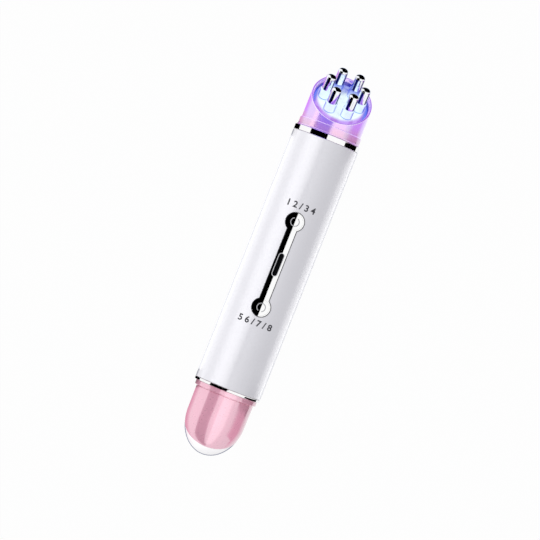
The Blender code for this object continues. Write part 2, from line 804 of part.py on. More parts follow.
def screw_places():
    """Places of the four board screws, as (across, along)."""
    across = board_half_width - SCREW_FROM_SIDE
    stations = (board_low + SCREW_FROM_END, board_high - SCREW_FROM_END)
    return [(side * across, station) for station in stations for side in (-1, 1)]


def make_main_board():
    """The long circuit board on the rails, its four screws and what is soldered to it."""
    board = block(
        "main_board",
        (board_bottom, -board_half_width, board_low),
        (board_top, board_half_width, board_high),
        axis,
        BOARD_GREEN,
    )
    cut(board, screw_hole_cutter)
    head_low = board_top + SEAM
    head_high = head_low + SCREW_HEAD_HEIGHT
    screw_end = rail_top - SCREW_DEPTH
    profile = [(0, head_high), (SCREW_HEAD_RADIUS, head_high), (SCREW_HEAD_RADIUS, head_low)]
    profile += [(SCREW_RADIUS, head_low), (SCREW_RADIUS, screw_end), (0, screw_end)]
    for number, (across, along) in enumerate(screw_places(), 1):
        holder = new_empty(f"board_screw_place_{number}", (0, across, along), (0, math.pi / 2, 0), axis)
        turned(f"board_screw_{number}", profile, holder, STEEL, SMALL_FACETS)
    half = CHIP_SIDE / 2
    station = plate_centre + CHIP_FROM_CENTRE
    chip_low = board_top + SEAM
    block(
        "controller_chip",
        (chip_low, -half, station - half),
        (chip_low + CHIP_HEIGHT, half, station + half),
        axis,
        BLACK_RESIN,
    )
    half = COIL_SIDE / 2
    station = plate_centre - WINDOW_HALF_LENGTH - COIL_WINDOW_GAP - half
    block(
        "boost_coil",
        (chip_low, -half, station - half),
        (chip_low + COIL_HEIGHT, half, station + half),
        axis,
        FERRITE,
        bevel=COIL_BEVEL,
    )
    clear_of_button = BUTTON_FLANGE_RADIUS + CAPACITOR_BUTTON_GAP + CAPACITOR_RADIUS
    rod(
        "capacitor",
        CAPACITOR_RADIUS,
        chip_low,
        chip_low + CAPACITOR_HEIGHT,
        axis,
        ALUMINIUM,
        location=(0, 0, plate_centre - BUTTON_SPACING / 2 + clear_of_button),
        rotation=(0, math.pi / 2, 0),
    )
    block(
        "indicator_lamp",
        (indicator_low, -INDICATOR_WIDTH / 2, plate_centre - INDICATOR_LENGTH / 2),
        (indicator_high, INDICATOR_WIDTH / 2, plate_centre + INDICATOR_LENGTH / 2),
        axis,
        LAMP_WHITE,
    )


def make_switch(name, side):
    """A push switch under a button, and the plunger that the button presses."""
    station = plate_centre + side * BUTTON_SPACING / 2
    half = SWITCH_SIDE / 2
    body = block(
        name, (switch_low, -half, station - half), (switch_high, half, station + half), axis, BLACK_RESIN
    )
    turn = (0, math.pi / 2, 0)
    place = (0, 0, station)
    stem_low = switch_high - STEM_DEPTH
    hole_low = stem_low - BUTTON_TRAVEL - SEAM
    hole = rod(
        f"{name}_hole",
        STEM_RADIUS + STEM_FIT,
        hole_low,
        switch_high + OVERRUN,
        axis,
        location=place,
        rotation=turn,
    )
    cut(body, hole)
    rod(f"{name}_stem", STEM_RADIUS, stem_low, stem_high, axis, WHITE_NYLON, location=place, rotation=turn)


def make_battery():
    """The round cell and its two leads to the board."""
    ends = battery_radius - BATTERY_CHAMFER
    profile = [
        (0, battery_high),
        (ends, battery_high),
        (battery_radius, battery_high - BATTERY_CHAMFER),
        (battery_radius, battery_low + BATTERY_CHAMFER),
        (ends, battery_low),
        (0, battery_low),
    ]
    turned("battery_cell", profile, axis, CELL_BLUE, SEAL_FACETS, location=(battery_x, 0, 0))
    start_z = battery_high + SEAT
    sides = {
        "battery_lead_positive": (LEAD_SIDE, LEAD_RED),
        "battery_lead_negative": (-LEAD_SIDE, LEAD_BLACK),
    }
    for name, (across, finish) in sides.items():
        bend = arc(LEAD_BEND, (LEAD_BEND - LEAD_BEHIND_AXIS, start_z), math.pi, -math.pi / 2, LEAD_STEPS)
        points = [(out, across, along) for out, along in bend]
        points.append((board_bottom - SEAT, across, start_z + LEAD_BEND))
        tube(name, points, LEAD_RADIUS, axis, finish)


def make_charging_socket():
    """The charging socket that faces out of the back, and the small board it stands on."""
    half_width = SOCKET_WIDTH / 2
    half_length = SOCKET_LENGTH / 2
    socket = slab(
        "charging_socket",
        capsule(half_width, half_length),
        -socket_mouth,
        -socket_inner,
        axis,
        STEEL,
        station=socket_station,
    )
    cavity = slab(
        "socket_cavity",
        capsule(half_width - SOCKET_WALL, half_length - SOCKET_WALL),
        -socket_mouth - OVERRUN,
        -socket_inner - SOCKET_FLOOR,
        axis,
        station=socket_station,
    )
    tongue_half = SOCKET_TONGUE_THICKNESS / 2
    tongue_reach = half_length - SOCKET_WALL - SOCKET_TONGUE_SIDE_GAP
    tongue = block(
        "socket_tongue",
        (-socket_inner - SOCKET_FLOOR - SOCKET_TONGUE_LENGTH, -tongue_half, socket_station - tongue_reach),
        (-socket_inner - SOCKET_FLOOR / 2, tongue_half, socket_station + tongue_reach),
        axis,
    )
    cut(socket, cavity)
    join(socket, tongue)
    board_back = -socket_inner + SEAM
    half_board = SOCKET_BOARD_WIDTH / 2
    block(
        "socket_board",
        (board_back, -half_board, socket_board_low),
        (board_back + SOCKET_BOARD_THICKNESS, half_board, socket_board_low + SOCKET_BOARD_LENGTH),
        axis,
        BOARD_GREEN,
    )


def make_motor():
    """The vibration motor, and the shaft and half-round weight that it spins."""
    hole_floor = motor_high - SHAFT_DEPTH
    hole = SHAFT_RADIUS + SHAFT_FIT
    profile = [
        (0, hole_floor),
        (hole, hole_floor),
        (hole, motor_high),
        (MOTOR_RADIUS, motor_high),
        (MOTOR_RADIUS, motor_low),
        (0, motor_low),
    ]
    turned("vibration_motor", profile, axis, STEEL, SEAL_FACETS, location=(motor_x, 0, 0))
    spin = new_empty("motor_spin_axis", (motor_x, 0, 0), (0, 0, 0), axis)
    rod("motor_shaft", SHAFT_RADIUS, hole_floor + SEAM, weight_high + SEAM, spin, STEEL)
    weight_profile = [
        (WEIGHT_RADIUS, weight_high),
        (WEIGHT_RADIUS, weight_low),
        (SHAFT_RADIUS + SHAFT_FIT, weight_low),
        (SHAFT_RADIUS + SHAFT_FIT, weight_high),
    ]
    weight = turned("eccentric_weight", weight_profile, spin, BRASS, SEAL_FACETS, closed=True)
    light_side = block(
        "weight_cutter",
        (WEIGHT_LAND, -WEIGHT_RADIUS - OVERRUN, weight_low - OVERRUN),
        (WEIGHT_RADIUS + OVERRUN, WEIGHT_RADIUS + OVERRUN, weight_high + OVERRUN),
        spin,
    )
    cut(weight, light_side)


def seal_profile(station):
    ring = arc(SEAL_RADIUS, (seal_centre_radius, station), math.pi / 2, -2 * math.pi, SEAL_STEPS)
    return ring[:-1]


def groove(station):
    """The part of a spigot's outer side that holds its seal, from the top down."""
    half = SEAL_RADIUS + SEAM
    return [
        (spigot_radius, station + half),
        (seal_groove_radius, station + half),
        (seal_groove_radius, station - half),
        (spigot_radius, station - half),
    ]


def make_head_sleeve():
    """The translucent cup: a spigot for the handle, a flange, and a slanted mouth with a stepped rim."""
    seal_station = head_spigot_low + SEAL_FROM_SPIGOT_END
    top = rim_station + HEAD_RADIUS * head_slope + OVERRUN
    profile = [
        (0, top),
        (HEAD_RADIUS, top),
        (HEAD_RADIUS, head_flange_high),
        (HEAD_FLANGE_RADIUS - FLANGE_CHAMFER, head_flange_high),
        (HEAD_FLANGE_RADIUS, head_flange_high - FLANGE_CHAMFER),
        (HEAD_FLANGE_RADIUS, head_flange_low),
        (HEAD_LIP_RADIUS, head_flange_low),
        (HEAD_LIP_RADIUS, head_lip_low),
        (spigot_radius, head_lip_low),
        *groove(seal_station),
        (spigot_radius, head_spigot_low),
        (0, head_spigot_low),
    ]
    sleeve = turned("head_sleeve", profile, axis, PINK_CLEAR)
    bore_profile = [
        (0, top + OVERRUN),
        (head_bore, top + OVERRUN),
        (head_bore, head_bore_step),
        (head_spigot_bore, head_bore_step),
        (head_spigot_bore, head_spigot_low - OVERRUN),
        (0, head_spigot_low - OVERRUN),
    ]
    bore = turned("head_bore_cutter", bore_profile, axis)
    square = 1 / math.cos(HEAD_SLANT)
    reach = 2 * HEAD_RADIUS * square
    mouth = block("head_mouth_cutter", (-reach, -reach, 0), (reach, reach, reach), head_tilt)
    seat_low = rim_station + (electrode_plate_low - SEAM) * square
    step_low = rim_station - RIM_STEP_DEPTH * square
    far = rim_station + reach
    seat = slanted_rod("cup_cutter", cup_radius, seat_low, far, head_slope, axis)
    step = slanted_rod("rim_step_cutter", HEAD_RADIUS - RIM_LIP_WALL, step_low, far, head_slope, axis)
    cut(sleeve, mouth, bore, seat, step)
    turned("head_seal", seal_profile(seal_station), axis, SILICONE, SEAL_FACETS, closed=True)


def pin_places():
    """Places of the six pins on the slanted floor, as (down the slope, across)."""
    half = pin_spread / 2
    front = [(pin_row, -half), (pin_row, half)]
    middle = [(0, pin_spread), (0, -pin_spread)]
    back = [(-pin_row, half), (-pin_row, -half)]
    return [front[0], front[1], middle[0], back[0], back[1], middle[1]]


def make_electrodes():
    """The slanted floor with its pedestals, the six pins and their nuts, and the lamps below."""
    square = 1 / math.cos(HEAD_SLANT)
    places = pin_places()
    shank_holes = rods(
        "shank_hole_cutter",
        PIN_SHANK_RADIUS + PIN_SHANK_FIT,
        pin_end - OVERRUN,
        pin_low + OVERRUN,
        places,
        head_tilt,
    )
    floor = slanted_rod(
        "electrode_plate",
        cup_radius - SEAM,
        rim_station + electrode_plate_low * square,
        rim_station + cup_floor * square,
        head_slope,
        axis,
        CLEAR,
    )
    pedestals = rods(
        "pedestals",
        PEDESTAL_RADIUS,
        cup_floor - ELECTRODE_PLATE_THICKNESS / 2,
        pedestal_high,
        places,
        head_tilt,
        facets=PIN_FACETS,
    )
    join(floor, pedestals)
    cut(floor, shank_holes)
    dome = dome_profile(PIN_RADIUS, PIN_DOME_HEIGHT, PIN_DOME_STEPS)
    profile = [(radius, pin_high - height) for radius, height in dome][::-1]
    profile += [(PIN_RADIUS, pin_low), (PIN_SHANK_RADIUS, pin_low), (PIN_SHANK_RADIUS, pin_end), (0, pin_end)]
    nut_bore = PIN_SHANK_RADIUS + PIN_SHANK_FIT
    nut_profile = [(NUT_RADIUS, nut_high), (NUT_RADIUS, nut_low), (nut_bore, nut_low), (nut_bore, nut_high)]
    for number, (down, across) in enumerate(places, 1):
        place = (down, across, 0)
        turned(f"electrode_{number}", profile, head_tilt, CHROME, PIN_FACETS, location=place)
        turned(
            f"electrode_nut_{number}", nut_profile, head_tilt, BRASS, NUT_FACETS, closed=True, location=place
        )
    board = slanted_rod(
        "lamp_board",
        head_bore - SPIGOT_FIT,
        rim_station + lamp_board_low * square,
        rim_station + lamp_board_high * square,
        head_slope,
        axis,
        BOARD_GREEN,
    )
    cut(board, shank_holes)
    half = LAMP_SIDE / 2
    for number in (1, 2, 3):
        down = (2 - number) * (LAMP_SIDE + LAMP_GAP)
        block(
            f"lamp_{number}",
            (down - half, -half, lamp_low),
            (down + half, half, lamp_low + LAMP_HEIGHT),
            head_tilt,
            LAMP_WHITE,
        )


def foot_outline():
    """The outer side of the foot, from the foot of its flange down to the tip."""
    dome = dome_profile(FOOT_DOME_RADIUS, FOOT_DOME_HEIGHT, DOME_STEPS)
    return [(FOOT_RADIUS, FOOT_LENGTH), *dome]


def make_foot():
    """The pink sleeve, the warm tip below its slanted seam, and the heater behind the tip."""
    seal_station = foot_spigot_high - SEAL_FROM_SPIGOT_END
    profile = [
        (0, foot_spigot_high),
        (spigot_radius, foot_spigot_high),
        *groove(seal_station),
        (spigot_radius, foot_flange_top),
        (FOOT_FLANGE_RADIUS, foot_flange_top),
        (FOOT_FLANGE_RADIUS, FOOT_LENGTH + FLANGE_CHAMFER),
        (FOOT_FLANGE_RADIUS - FLANGE_CHAMFER, FOOT_LENGTH),
        *foot_outline(),
    ]
    sleeve = turned("foot_sleeve", profile, axis, PINK)
    reach = FOOT_LENGTH + FOOT_RADIUS
    below = block("foot_seam_cutter", (-reach, -reach, -reach), (reach, reach, 0), foot_tilt)
    bore = rod(
        "foot_bore_cutter",
        foot_bore,
        foot_bore_floor,
        foot_spigot_high + OVERRUN,
        axis,
        facets=FACETS,
    )
    plug_place = (-seam_back, 0, 0)
    plug_hole = rod(
        "plug_hole_cutter", plug_hole_radius, -OVERRUN, plug_hole_high, foot_tilt, facets=SEAL_FACETS,
        location=plug_place,
    )
    cut(sleeve, below, bore, plug_hole)
    tip = turned("warm_tip", [(0, FOOT_LENGTH), *foot_outline()], axis, MILKY)
    above = block("tip_seam_cutter", (-reach, -reach, -SEAM), (reach, reach, reach), foot_tilt)
    plug = rod(
        "tip_plug",
        tip_plug_radius,
        -OVERRUN,
        TIP_PLUG_HEIGHT,
        foot_tilt,
        facets=SEAL_FACETS,
        location=plug_place,
    )
    cut(tip, above)
    join(tip, plug)
    rod(
        "heater_plate",
        tip_plug_radius - HEATER_MARGIN,
        heater_low,
        heater_high,
        foot_tilt,
        ALUMINIUM,
        SEAL_FACETS,
        location=plug_place,
    )
    middle = tip_plug_radius / 2 + THERMISTOR_WIDTH
    block(
        "thermistor",
        (-seam_back - THERMISTOR_LENGTH / 2, middle - THERMISTOR_WIDTH / 2, thermistor_low),
        (
            -seam_back + THERMISTOR_LENGTH / 2,
            middle + THERMISTOR_WIDTH / 2,
            thermistor_low + THERMISTOR_HEIGHT,
        ),
        foot_tilt,
        AMBER,
    )
    turned("foot_seal", seal_profile(seal_station), axis, SILICONE, SEAL_FACETS, closed=True)


def make_ribbons():
    """The flat leads from the two ends of the main board to the lamp board and to the heater."""
    out = board_bottom + BOARD_THICKNESS / 2
    lamp_board_back = rim_station + lamp_board_low / math.cos(HEAD_SLANT)
    ribbon("head_ribbon", (out, board_high + SEAM), (0, lamp_board_back - RIBBON_END_GAP))
    lean = -seam_back * math.cos(FOOT_SLANT) + heater_high * math.sin(FOOT_SLANT)
    rise = seam_back * math.sin(FOOT_SLANT) + heater_high * math.cos(FOOT_SLANT)
    heater_back = FOOT_SLANT_STATION + rise
    ribbon("foot_ribbon", (out, board_low - SEAM), (lean, heater_back + RIBBON_END_GAP))


screw_hole_cutter = rods(
    "screw_hole_cutter",
    SCREW_RADIUS + SCREW_FIT,
    rail_top - RAIL_HEIGHT - OVERRUN,
    board_top + OVERRUN,
    screw_places(),
    axis,
    rotation=FRONT_TURN,
)
light_slot_cutter, socket_slot_cutter = make_handle_shell()
make_rings()
make_control_plate(light_slot_cutter)
make_button("upper_button", 1)
make_button("lower_button", -1)
make_light_window()
make_inner_frame(socket_slot_cutter)
make_main_board()
make_switch("upper_switch", 1)
make_switch("lower_switch", -1)
make_battery()
make_charging_socket()
make_motor()
make_head_sleeve()
make_electrodes()
make_foot()
make_ribbons()
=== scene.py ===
"""Microcurrent eye massager: the finished pieces, their materials and a small studio.

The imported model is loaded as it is. Most shapes are made in the upright frame of the handle, where x
points out of the front, y points across and z runs along the handle towards the head, and are then laid
down with it. All sizes are in metres.
"""

import math

import bmesh
import bpy
from mathutils import Matrix, Vector


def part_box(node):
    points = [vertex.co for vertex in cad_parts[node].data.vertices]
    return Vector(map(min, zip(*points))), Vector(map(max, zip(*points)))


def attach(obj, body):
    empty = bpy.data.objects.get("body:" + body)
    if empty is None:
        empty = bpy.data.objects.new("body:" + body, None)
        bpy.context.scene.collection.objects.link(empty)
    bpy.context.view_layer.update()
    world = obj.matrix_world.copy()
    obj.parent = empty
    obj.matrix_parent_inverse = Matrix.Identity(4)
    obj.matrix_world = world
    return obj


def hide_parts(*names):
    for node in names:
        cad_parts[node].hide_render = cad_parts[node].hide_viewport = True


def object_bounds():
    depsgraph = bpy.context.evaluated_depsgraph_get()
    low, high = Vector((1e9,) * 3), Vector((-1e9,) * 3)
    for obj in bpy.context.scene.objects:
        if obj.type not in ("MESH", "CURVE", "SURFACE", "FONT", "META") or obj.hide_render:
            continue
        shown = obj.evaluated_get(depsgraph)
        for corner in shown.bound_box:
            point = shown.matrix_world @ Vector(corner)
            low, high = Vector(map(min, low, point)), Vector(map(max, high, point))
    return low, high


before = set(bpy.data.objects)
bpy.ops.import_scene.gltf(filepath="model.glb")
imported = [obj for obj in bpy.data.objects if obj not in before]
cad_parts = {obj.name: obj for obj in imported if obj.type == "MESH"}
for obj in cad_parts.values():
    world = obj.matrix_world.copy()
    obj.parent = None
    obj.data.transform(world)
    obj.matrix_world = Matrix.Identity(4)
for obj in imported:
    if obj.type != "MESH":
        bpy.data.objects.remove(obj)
CAD_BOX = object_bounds()

bl_info = {
    "name": "Microcurrent eye massager",
    "version": (1, 0, 0),
    "blender": (4, 5, 0),
    "location": "3D View > Sidebar > Massager",
    "description": "Builds the finished pieces of a microcurrent eye massager and the studio round it",
    "category": "Object",
}


def middle_station(node):
    """Middle of a node's box, along the handle."""
    low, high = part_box(node)
    return (low.x + high.x) / 2


# Places read from the frame
SHELL_LOW, SHELL_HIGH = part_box("handle_shell")
AXIS_HEIGHT = (SHELL_LOW.z + SHELL_HIGH.z) / 2
HANDLE_RADIUS = (SHELL_HIGH.z - SHELL_LOW.z) / 2
SKIN_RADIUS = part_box("control_plate")[1].z - AXIS_HEIGHT
BUTTON_STATIONS = {name: middle_station(name) for name in ("upper_button", "lower_button")}
HALF_SPAN = (BUTTON_STATIONS["upper_button"] - BUTTON_STATIONS["lower_button"]) / 2
PLATE_MIDDLE = sum(BUTTON_STATIONS.values()) / 2
PLATE_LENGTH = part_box("control_plate")[1].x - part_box("control_plate")[0].x
SOCKET_STATION = middle_station("charging_socket")
HEAD_LOW, HEAD_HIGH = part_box("head_sleeve")
FOOT_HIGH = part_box("foot_sleeve")[1]
TIP_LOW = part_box("warm_tip")[0]
PIN_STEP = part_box("electrode_1")[0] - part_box("electrode_5")[0]
PIN_ROW = PIN_STEP.length / 2
PIN_SPREAD = (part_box("electrode_6")[0].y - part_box("electrode_3")[0].y) / 2
HEAD_SLANT = math.atan2(-PIN_STEP.x, PIN_STEP.z)

# The upright frame of the handle, and the two sides of it that pieces are laid on
UPRIGHT = Matrix(((0, 0, 1, 0), (0, -1, 0, 0), (1, 0, 0, AXIS_HEIGHT), (0, 0, 0, 1)))
FRONT = Matrix.Identity(4)
BACK = Matrix.Rotation(math.pi, 4, "Z")

# Inner radius of the grooves that hold the seals
GROOVE_RADIUS = 0.0100

# Fineness of the meshes
SEGMENTS = 160
PIN_SEGMENTS = 64
CORNER_STEPS = 4
ARC_STEPS = 40
DOME_STEPS = 48
PIN_DOME_STEPS = 14
BEND_STEP = 0.0003
PRINT_BEND_STEP = 0.0005
SHARP_ANGLE = math.radians(38)
DRAPED_ANGLE = math.radians(15)
MERGE = 0.000001


# Sizes and colours that a user may change


def metres(name, description, default):
    return bpy.props.FloatProperty(name=name, description=description, default=default, unit="LENGTH")


def degrees(name, description, default):
    turn = math.radians(default)
    return bpy.props.FloatProperty(name=name, description=description, default=turn, subtype="ANGLE")


def amount(name, description, default):
    return bpy.props.FloatProperty(name=name, description=description, default=default)


def tint(name, description, *default):
    return bpy.props.FloatVectorProperty(
        name=name, description=description, default=default, subtype="COLOR"
    )


class HandleSizes(bpy.types.PropertyGroup):
    bore: metres("Bore", "Inner radius of the handle", 0.0110)
    edge: metres("Edge", "Rounding of the handle's ends", 0.00025)
    ring_edge: metres("Ring edge", "Rounding of the bright rings", 0.00004)
    socket_width: metres("Socket width", "Width of the slot for the charging socket", 0.0036)
    socket_length: metres("Socket length", "Length of that slot", 0.0094)
    pearl: tint("Pearl", "Colour of the handle", 0.90, 0.893, 0.93)
    print_height: metres("Print height", "Height of the printed numbers", 0.0026)
    print_distance: metres("Print distance", "From the plate's ends to the numbers", 0.0011)
    print_weight: metres("Print weight", "How much the strokes are thickened", 0.00008)
    print_colour: tint("Print", "Colour of the printed numbers", 0.05, 0.05, 0.06)


class ControlSizes(bpy.types.PropertyGroup):
    end_radius: metres("End radius", "Radius of the plate's round ends", 0.0035)
    bar_half_width: metres("Bar", "Half the width of the plate's bar", 0.00185)
    thickness: metres("Thickness", "Thickness of the plate", 0.0006)
    seam: metres("Seam", "Gap round the plate, its buttons and its window", 0.0001)
    button_seam: metres("Button seam", "Gap round a button", 0.00003)
    # The dark seal is a dark strip put in the seam as painted shade
    seam_shade_width: metres("Seal", "Width that the dark seal takes from the plate", 0.00016)
    # The light line round the window is a painted highlight of its edge
    highlight_width: metres("Frame", "Width of the light line round the window", 0.00022)
    clearance: metres("Clearance", "Gap beside the seal and the light line", 0.00001)
    button_radius: metres("Button", "Radius of a button", 0.00291)
    travel: metres("Travel", "How far a button is pressed", 0.0004)
    mark_radius: metres("Mark", "Radius of the open circle on a button", 0.00154)
    mark_line: metres("Mark line", "Width of the open circle's line", 0.00032)
    mark_depth: metres("Mark depth", "Depth of the open circle", 0.00020)
    mark_gap: degrees("Mark gap", "Opening of the circle", 56)
    window_half_width: metres("Window", "Half the width of the window", 0.00088)
    window_half_length: metres("Window length", "Half the length of the window", 0.00425)
    window_depth: metres("Window depth", "Depth of the window under the plate's skin", 0.0022)
    mark_colour: tint("Mark colour", "Colour in the open circles", 0.52, 0.52, 0.54)


class HeadSizes(bpy.types.PropertyGroup):
    radius: metres("Radius", "Outer radius of the head", 0.0114)
    flange_radius: metres("Flange", "Radius of its flange", 0.0118)
    flange_thickness: metres("Flange thickness", "Thickness of the flange", 0.0027)
    lip_thickness: metres("Lip", "Thickness of the lip below the flange", 0.0005)
    spigot_radius: metres("Spigot", "Radius of the part in the handle", 0.0108)
    spigot_length: metres("Spigot length", "Length of the part in the handle", 0.0101)
    spigot_bore: metres("Spigot bore", "Inner radius of that part", 0.0090)
    rim_wall: metres("Rim", "Width of the rim's outer lip", 0.0006)
    rim_step: metres("Rim step", "Depth of the step inside the rim", 0.0007)
    cup_wall: metres("Cup wall", "Wall of the cup", 0.0011)
    cup_depth: metres("Cup depth", "From the rim to the clear floor", 0.0015)
    floor_thickness: metres("Floor", "Thickness of the clear floor", 0.0015)
    pedestal_radius: metres("Pedestal", "Radius of a pin's pedestal", 0.00225)
    pedestal_height: metres("Pedestal height", "From the floor to the pin", 0.0037)
    pin_radius: metres("Pin", "Radius of a pin", 0.0019)
    pin_length: metres("Pin length", "Length of a pin above its pedestal", 0.0060)
    pin_dome: metres("Pin dome", "Height of a pin's dome", 0.0013)
    pink: tint("Pink", "Colour at the flange", 0.70, 0.33, 0.55)
    violet: tint("Violet", "Colour that the lamps give the rim", 0.45, 0.27, 0.60)
    glow: tint("Glow", "Light in the middle of the floor", 0.78, 0.90, 0.89)
    blue: tint("Blue", "Light at the back of the floor", 0.04, 0.07, 0.42)


class FootSizes(bpy.types.PropertyGroup):
    radius: metres("Radius", "Outer radius of the foot", 0.0110)
    length: metres("Length", "From the tip to the flange", 0.0230)
    dome_radius: metres("Dome", "Radius of the dome", 0.0109)
    dome_height: metres("Dome height", "Height of the dome", 0.0140)
    flange_radius: metres("Flange", "Radius of the flange", 0.01175)
    flange_thickness: metres("Flange thickness", "Thickness of the flange", 0.0017)
    bore: metres("Bore", "Inner radius of the foot", 0.0092)
    slant: degrees("Slant", "Slant of the seam", 38.5)
    seam_height: metres("Seam", "From the tip to the seam, on the axis", 0.0091)
    pink: tint("Pink", "Colour of the foot", 0.87, 0.42, 0.55)
    milky: tint("Milky", "Colour of the warm tip", 0.92, 0.91, 0.91)


class StudioSizes(bpy.types.PropertyGroup):
    distance: metres("Distance", "From the camera to the massager", 1.087)
    lens: amount("Lens", "Focal length in millimetres", 200.0)
    lean: degrees("Lean", "Lean of the handle in the picture", 21.6)
    turn: degrees("Turn", "Turn of the camera round the handle", 2)
    right: metres("Right", "How far the massager sits right of the middle", 0.00275)
    up: metres("Up", "How far the massager sits above the middle", 0.00272)
    daylight: amount("Daylight", "Strength of the light from all round", 0.66)
    floor_size: metres("Floor", "Width of the floor", 6.0)
    floor_white: amount("Floor white", "Share of plain white that the camera sees", 0.97)


SETTINGS = {
    "massager_handle": HandleSizes,
    "massager_controls": ControlSizes,
    "massager_head": HeadSizes,
    "massager_foot": FootSizes,
    "massager_studio": StudioSizes,
}


# Node groups and materials


def add_node(tree, kind, **settings):
    made = tree.nodes.new(kind)
    for key, value in settings.items():
        setattr(made, key, value)
    return made


def feed(tree, value, socket):
    """Sets a socket to a plain value, or links another node's output to it."""
    if isinstance(value, bpy.types.NodeSocket):
        tree.links.new(value, socket)
    elif socket.type == "RGBA" and len(value) == 3:
        socket.default_value = (*value, 1)
    else:
        socket.default_value = value


def new_group(name, inputs, outputs):
    """A shader node group with its named sockets, its input node and its output node."""
    group = bpy.data.node_groups.new(name, "ShaderNodeTree")
    for label, default in inputs.items():
        socket = group.interface.new_socket(label, in_out="INPUT", socket_type="NodeSocketFloat")
        socket.default_value = default
    for label in outputs:
        group.interface.new_socket(label, in_out="OUTPUT", socket_type="NodeSocketFloat")
    return group, group.nodes.new("NodeGroupInput").outputs, group.nodes.new("NodeGroupOutput").inputs


def calculate(tree, operation, *values):
    made = add_node(tree, "ShaderNodeMath", operation=operation)
    for value, socket in zip(values, made.inputs):
        feed(tree, value, socket)
    return made.outputs[0]


def calculate_vector(tree, operation, *values):
    """A step with vectors. A length or a dot product is a value, and the others are vectors."""
    made = add_node(tree, "ShaderNodeVectorMath", operation=operation)
    for value, socket in zip(values, made.inputs):
        feed(tree, value, socket)
    return made.outputs["Value" if operation in ("LENGTH", "DOT_PRODUCT") else "Vector"]


def split(tree, vector):
    """The X, Y and Z outputs of a vector."""
    parts = add_node(tree, "ShaderNodeSeparateXYZ")
    feed(tree, vector, parts.inputs[0])
    return parts.outputs


def map_range(tree, value, from_low, from_high, to_low=0, to_high=1, smooth=False):
    kind = "SMOOTHSTEP" if smooth else "LINEAR"
    made = add_node(tree, "ShaderNodeMapRange", interpolation_type=kind)
    values = (value, from_low, from_high, to_low, to_high)
    for given, label in zip(values, ("Value", "From Min", "From Max", "To Min", "To Max")):
        feed(tree, given, made.inputs[label])
    return made.outputs["Result"]


def between(tree, value, low, high, soft=0.05):
    """1 where the value lies between low and high, with soft ends."""
    rise = map_range(tree, value, low - soft, low + soft, smooth=True)
    fall = map_range(tree, value, high - soft, high + soft, 1, 0, smooth=True)
    return calculate(tree, "MULTIPLY", rise, fall)


def mix_colours(tree, share, first, second):
    made = add_node(tree, "ShaderNodeMix", data_type="RGBA")
    sockets = {socket.identifier: socket for socket in made.inputs}
    feed(tree, share, sockets["Factor_Float"])
    feed(tree, first, sockets["A_Color"])
    feed(tree, second, sockets["B_Color"])
    return next(socket for socket in made.outputs if socket.identifier == "Result_Color")


def place_in_object(tree):
    return add_node(tree, "ShaderNodeTexCoord").outputs["Object"]


def world_normal(tree):
    return add_node(tree, "ShaderNodeNewGeometry").outputs["Normal"]


def make_noise_group(name, scale, along, detail, low):
    """A value between Low and High for colour or roughness, and a height, from noise drawn out along x."""
    group, given, result = new_group(name, {"Scale": scale, "Low": 0, "High": 1}, ["Value", "Height"])
    noise = add_node(group, "ShaderNodeTexNoise")
    noise.inputs["Detail"].default_value = detail
    place = calculate_vector(group, "MULTIPLY", place_in_object(group), (along, 1, 1))
    feed(group, place, noise.inputs["Vector"])
    feed(group, given["Scale"], noise.inputs["Scale"])
    value = map_range(group, noise.outputs["Fac"], low, 1 - low, given["Low"], given["High"])
    feed(group, value, result["Value"])
    feed(group, noise.outputs["Fac"], result["Height"])


def make_flecks_group():
    """Tiny mica flecks: 1 in the middle of a fleck and 0 between them."""
    group, given, result = new_group("flecks", {"Scale": 2500, "Size": 0.25}, ["Mask"])
    cells = add_node(group, "ShaderNodeTexVoronoi")
    feed(group, place_in_object(group), cells.inputs["Vector"])
    feed(group, given["Scale"], cells.inputs["Scale"])
    mask = map_range(group, cells.outputs["Distance"], given["Size"], 0, 0, 1, smooth=True)
    feed(group, mask, result["Mask"])


def make_lengthwise_group():
    """0 before Start and 1 after End, along the handle."""
    group, given, result = new_group("lengthwise", {"Start": 0, "End": 1}, ["Share"])
    along = split(group, place_in_object(group))["X"]
    feed(group, map_range(group, along, given["Start"], given["End"], smooth=True), result["Share"])


def make_from_axis_group():
    """0 within Inner of the handle's axis, or of a line so far behind it, and 1 beyond Outer."""
    group, given, result = new_group("from_axis", {"Inner": 0, "Outer": 1, "Back": 0}, ["Share"])
    axis = add_node(group, "ShaderNodeCombineXYZ")
    feed(group, calculate(group, "SUBTRACT", AXIS_HEIGHT, given["Back"]), axis.inputs["Z"])
    place = calculate_vector(group, "SUBTRACT", place_in_object(group), axis.outputs["Vector"])
    far = calculate_vector(group, "LENGTH", calculate_vector(group, "MULTIPLY", place, (0, 1, 1)))
    feed(group, map_range(group, far, given["Inner"], given["Outer"], smooth=True), result["Share"])


def use_group(tree, name, **values):
    made = add_node(tree, "ShaderNodeGroup", node_tree=bpy.data.node_groups[name])
    for label, value in values.items():
        feed(tree, value, made.inputs[label])
    return made.outputs


def new_material(name, plain):
    """A material whose Principled BSDF has the given plain values."""
    material = bpy.data.materials.new(name)
    material.use_nodes = True
    shader = material.node_tree.nodes["Principled BSDF"]
    for label, value in plain.items():
        feed(material.node_tree, value, shader.inputs[label])
    return material, material.node_tree, shader


def add_surface(tree, shader, roughness, group="grain", scale=1500, depth=0.00001, spread=0.25):
    """Roughness that changes a little over the surface, and a fine bump."""
    low = roughness * (1 - spread)
    texture = use_group(tree, group, Scale=scale, Low=low, High=roughness * (1 + spread))
    feed(tree, texture["Value"], shader.inputs["Roughness"])
    bump = add_node(tree, "ShaderNodeBump")
    bump.inputs["Distance"].default_value = depth
    feed(tree, texture["Height"], bump.inputs["Height"])
    feed(tree, bump.outputs["Normal"], shader.inputs["Normal"])


